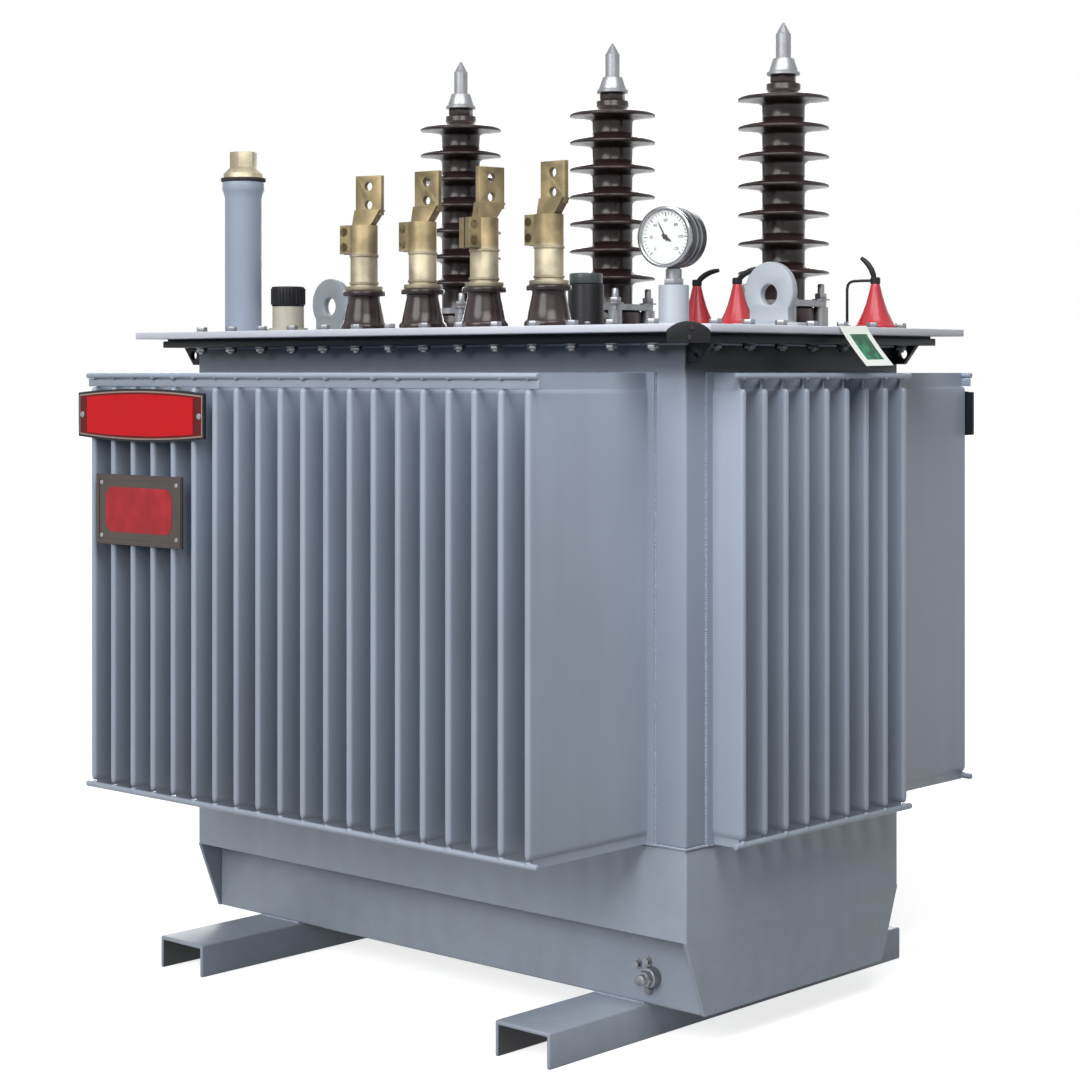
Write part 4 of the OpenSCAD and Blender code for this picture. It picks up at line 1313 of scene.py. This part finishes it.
class TRANSFORMER_OT_plates(bpy.types.Operator):
    """Make the oval plates and the rating plate, all blank"""

    bl_idname = "transformer.plates"
    bl_label = "Plates"

    def execute(self, context):
        self.oval_plate("front_oval_plate", 0)
        self.oval_plate("back_oval_plate", 180)
        self.rating_plate()
        return {"FINISHED"}

    def plate(self, node, facing=0):
        """Frame at the middle of a plate's back, facing out, with its length, height and thickness."""
        low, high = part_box(node)
        middle = middle_of(node)
        back = low.y if facing else high.y
        at = shift(middle.x, back, middle.z) @ turn(facing) @ turn(90, "X")
        return at, high.x - low.x, high.z - low.z, high.y - low.y

    def bowed(self, length, height, bow, inset=0.0):
        """Outline with straight ends and bowed long edges, about its middle."""
        half, rise, steps = length / 2 - inset, height / 2 - inset, 24
        shares = [1 - 2 * i / steps for i in range(steps + 1)]
        top = [(half * share, rise - bow * share ** 2) for share in shares]
        return top + [(-x, -y) for x, y in top]

    def oval_plate(self, node, facing):
        at, length, height, thickness = self.plate(node, facing)
        bow = 6 * MM
        sheet = Form().prism(self.bowed(length, height, bow), 0, thickness - 2 * MM, at).rounded(0.8 * MM)
        sheet.piece(f"{node}_back", "rim_paint", (node,), slot="red_enamel")
        for part, finish_name, outline, depth in (
            ("outline", "enamel_line", self.bowed(length, height, bow, 3 * MM), 2.4 * MM),
            ("border", "enamel_edge", self.bowed(length, height, bow, 5 * MM), 2 * MM),
            ("field", "red_enamel", self.bowed(length - 44 * MM, height - 16 * MM, 4 * MM), 1.4 * MM),
        ):
            layer = Form().prism(outline, thickness - depth, thickness - depth + 1 * MM, at)
            layer.piece(f"{node}_{part}", finish_name, slot="red_enamel")
        screws = Form()
        for x in (10 * MM - length / 2, length / 2 - 10 * MM):
            screws.screw_head(4.6 * MM, 3.6 * MM, thickness, at @ shift(x), 24)
        screws.piece(f"{node}_screws", "zinc_steel")

    def rating_plate(self):
        """Sheet with a raised rim, a faded panel with round corners, and four screws."""
        at, length, height, thickness = self.plate("rating_plate")
        x_half, y_half = length / 2, height / 2
        sheet = Form().box((-x_half, -y_half, 0), (x_half, y_half, thickness - 1 * MM), at).rounded(0.8 * MM)
        sheet.piece("rating_plate_sheet", "plate_metal", ("rating_plate",))
        rim = Form()
        x_out, y_out, x_in, y_in = x_half - 2 * MM, y_half - 2 * MM, x_half - 7 * MM, y_half - 7 * MM
        for x0, y0, x1, y1 in (
            (-x_out, y_in, x_out, y_out), (-x_out, -y_out, x_out, -y_in),
            (-x_out, -y_in, -x_in, y_in), (x_in, -y_in, x_out, y_in),
        ):
            rim.box((x0, y0, thickness - 1.4 * MM), (x1, y1, thickness - 0.1 * MM), at)
        rim.piece("rating_plate_rim", "plate_metal")
        corner_round, steps = 16 * MM, 6
        x_corner, y_corner = x_half - 38 * MM, y_half - 34 * MM
        panel = []
        for x, y, start in ((1, 1, 0), (-1, 1, 90), (-1, -1, 180), (1, -1, 270)):
            for k in range(steps + 1):
                angle = math.radians(start + 90 * k / steps)
                panel.append((
                    x * x_corner + corner_round * math.cos(angle),
                    y * y_corner + corner_round * math.sin(angle),
                ))
        Form().prism(panel, thickness - 1.3 * MM, thickness - 0.6 * MM, at).piece(
            "rating_plate_panel", "faded_panel", slot="red_enamel",
        )
        screws = Form()
        for x, y in ((-1, -1), (-1, 1), (1, -1), (1, 1)):
            spot = at @ shift(x * (x_half - 12 * MM), y * (y_half - 12 * MM))
            screws.screw_head(3.6 * MM, 2.8 * MM, thickness, spot, 20)
        screws.piece("rating_plate_screws", "zinc_steel")


class TRANSFORMER_OT_tag(bpy.types.Operator):
    """Hang the blank paper tag on the cover's right edge"""

    bl_idname = "transformer.tag"
    bl_label = "Paper tag"

    width: length_property("Width", "Width of the tag", 62)
    drop: length_property("Drop", "Drop of the tag below the cover", 52.5)
    lean: length_property("Lean", "Reach of the tag's foot", 26)

    def execute(self, context):
        self.leaf("paper_tag", "paper", (0, 1), (0, 1), (-0.2 * MM, 0.2 * MM))
        self.leaf("paper_tag_print", "green_print", (0.2, 0.82), (0.2, 0.84), (0.15 * MM, 0.35 * MM))
        return {"FINISHED"}

    def leaf(self, name, finish_name, across, along, lifts):
        """Bowed leaf over a share of the tag's width and length, between two lifts off its middle."""
        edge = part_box("cover_plate")[1]
        top = Vector((edge.x + 0.6 * MM, 3 * MM, edge.z + 0.6 * MM))
        down = Vector((self.lean, self.lean, -self.drop))
        side = Vector((0, self.width, 1 * MM))
        out = side.cross(-down).normalized()
        steps = 8
        loops = []
        for k in range(steps + 1):
            share = along[0] + (along[1] - along[0]) * k / steps
            middle = top + down * share - out * (1.5 * MM * math.sin(math.pi * share))
            (left, right), (low, high) = across, lifts
            loops.append([
                middle + side * u + out * lift
                for u, lift in ((left, low), (right, low), (right, high), (left, high))
            ])
        Form().loft(loops).piece(name, finish_name)


class TRANSFORMER_OT_stage(bpy.types.Operator):
    """Set up the floor, the light and the camera"""

    bl_idname = "transformer.stage"
    bl_label = "Studio stage"

    lamp_power: FloatProperty(
        name="Lamp", description="Power of the soft lamp at the right", default=62, unit="POWER",
    )
    lamp_width: FloatProperty(
        name="Lamp width", description="Width of the soft lamp", default=1.6, unit="LENGTH",
    )
    front_strength: FloatProperty(
        name="Front sun", description="Strength of the light from the front", default=2.45,
    )
    back_strength: FloatProperty(
        name="Back sun", description="Strength of the light from behind", default=1.7,
    )
    sky_strength: FloatProperty(
        name="Sky", description="Strength of the light from all round", default=0.12,
    )
    heading: FloatProperty(
        name="Heading", description="Turn of the camera about the vertical", default=math.radians(42.46),
        subtype="ANGLE",
    )
    focal_length: FloatProperty(name="Focal length", description="In millimetres", default=79.56)

    def execute(self, context):
        scene = context.scene
        scene.view_settings.view_transform = "Standard"
        self.floor()
        self.world(scene)
        self.lamp((1.75, -1.1, 2.85), (0.3, 0, 0.55))
        self.sun("front_sun", (0.03, -0.86, 0.50), self.front_strength)
        self.sun("back_sun", (-0.62, 0.72, 0.22), self.back_strength)
        lens = bpy.data.cameras.new("camera")
        lens.lens = self.focal_length
        lens.sensor_width = 36
        lens.shift_y = -0.1554
        camera = link("camera", lens)
        camera.location = (2.368, -2.573, 0.865)
        camera.rotation_euler = (math.radians(90), 0, self.heading)
        scene.camera = camera
        return {"FINISHED"}

    def seen_plainly(self, graph):
        """1 for rays from the camera, a mirror or glass, and 0 for the light that falls on the object."""
        rays = ("Is Camera Ray", "Is Glossy Ray", "Is Transmission Ray")
        first, second, third = (graph.node("ShaderNodeLightPath", output=name) for name in rays)
        settings = {"operation": "ADD", "use_clamp": True}
        return graph.node("ShaderNodeMath", settings, {0: first + second, 1: third})

    def floor(self):
        """Pale floor that is seen nearly white, keeps the object's shadow and throws little light up."""
        reach, thickness = 30, 0.02
        mesh = Form().box((-reach, -reach, -thickness), (reach, reach, 0)).mesh("floor")
        material = bpy.data.materials.new("floor")
        material.use_nodes = True
        graph = Graph(material.node_tree)
        grain = graph.noise(graph.place(), 8, 3)
        seen = self.seen_plainly(graph)
        base = graph.mix(grain, tint("floor", 0.98), tint("floor"))
        lit = graph.node("ShaderNodeBsdfDiffuse", inputs={"Color": graph.mix(seen, 0.2, base)})
        glow = graph.node("ShaderNodeEmission", inputs={"Color": (1, 1, 1, 1), "Strength": 0.76 * seen})
        both = graph.node("ShaderNodeAddShader", inputs={0: lit, 1: glow})
        graph.node("ShaderNodeOutputMaterial", inputs={"Surface": both})
        mesh.materials.append(material)
        link("floor", mesh)

    def world(self, scene):
        """Weak light from all round before a white backdrop."""
        world = bpy.data.worlds.new("studio")
        world.use_nodes = True
        scene.world = world
        graph = Graph(world.node_tree)
        light, backdrop = (
            graph.node("ShaderNodeBackground", inputs={"Color": (*colour, 1), "Strength": strength})
            for colour, strength in (((0.95, 0.97, 1.0), self.sky_strength), ((1, 1, 1), 1.0))
        )
        mixed = graph.node("ShaderNodeMixShader", inputs={0: self.seen_plainly(graph), 1: light, 2: backdrop})
        graph.node("ShaderNodeOutputWorld", inputs={"Surface": mixed})

    def lamp(self, place, target):
        """Soft square lamp that faces a target."""
        light = bpy.data.lights.new("lamp", "AREA")
        light.energy = self.lamp_power
        light.size = self.lamp_width
        self.aim(light, Vector(place), Vector(place) - Vector(target))

    def sun(self, name, towards, strength):
        """Soft light from a direction."""
        light = bpy.data.lights.new(name, "SUN")
        light.energy = strength
        light.angle = math.radians(40)
        self.aim(light, Vector(towards) * 4, Vector(towards))

    def aim(self, light, place, back):
        """Sets a light at a place with its back towards a direction."""
        holder = link(light.name, light)
        holder.location = place
        holder.rotation_euler = back.to_track_quat("Z", "Y").to_euler()


STEPS = (
    TRANSFORMER_OT_tank,
    TRANSFORMER_OT_fins,
    TRANSFORMER_OT_welds,
    TRANSFORMER_OT_cover_bolts,
    TRANSFORMER_OT_cover_fittings,
    TRANSFORMER_OT_high_voltage,
    TRANSFORMER_OT_low_voltage,
    TRANSFORMER_OT_filler,
    TRANSFORMER_OT_thermometer,
    TRANSFORMER_OT_tap_changer,
    TRANSFORMER_OT_relief_valves,
    TRANSFORMER_OT_plates,
    TRANSFORMER_OT_tag,
    TRANSFORMER_OT_stage,
)


class TRANSFORMER_PT_panel(bpy.types.Panel):
    """Sizes, colours and steps of the transformer"""

    bl_idname = "TRANSFORMER_PT_panel"
    bl_label = "Transformer"
    bl_space_type = "VIEW_3D"
    bl_region_type = "UI"
    bl_category = "Transformer"

    def draw(self, context):
        for group in (context.scene.transformer_sizes, context.scene.transformer_colours):
            box = self.layout.box()
            for name in group.__annotations__:
                box.prop(group, name)
        column = self.layout.column()
        for step in STEPS:
            column.operator(step.bl_idname)


CLASSES = (TransformerSizes, TransformerColours, *STEPS, TRANSFORMER_PT_panel)


def register():
    for made in CLASSES:
        bpy.utils.register_class(made)
    bpy.types.Scene.transformer_sizes = PointerProperty(type=TransformerSizes)
    bpy.types.Scene.transformer_colours = PointerProperty(type=TransformerColours)


def unregister():
    del bpy.types.Scene.transformer_colours
    del bpy.types.Scene.transformer_sizes
    for made in reversed(CLASSES):
        bpy.utils.unregister_class(made)


def main():
    register()
    for step in STEPS:
        module, name = step.bl_idname.split(".")
        getattr(getattr(bpy.ops, module), name)()


if __name__ == "__main__":
    main()
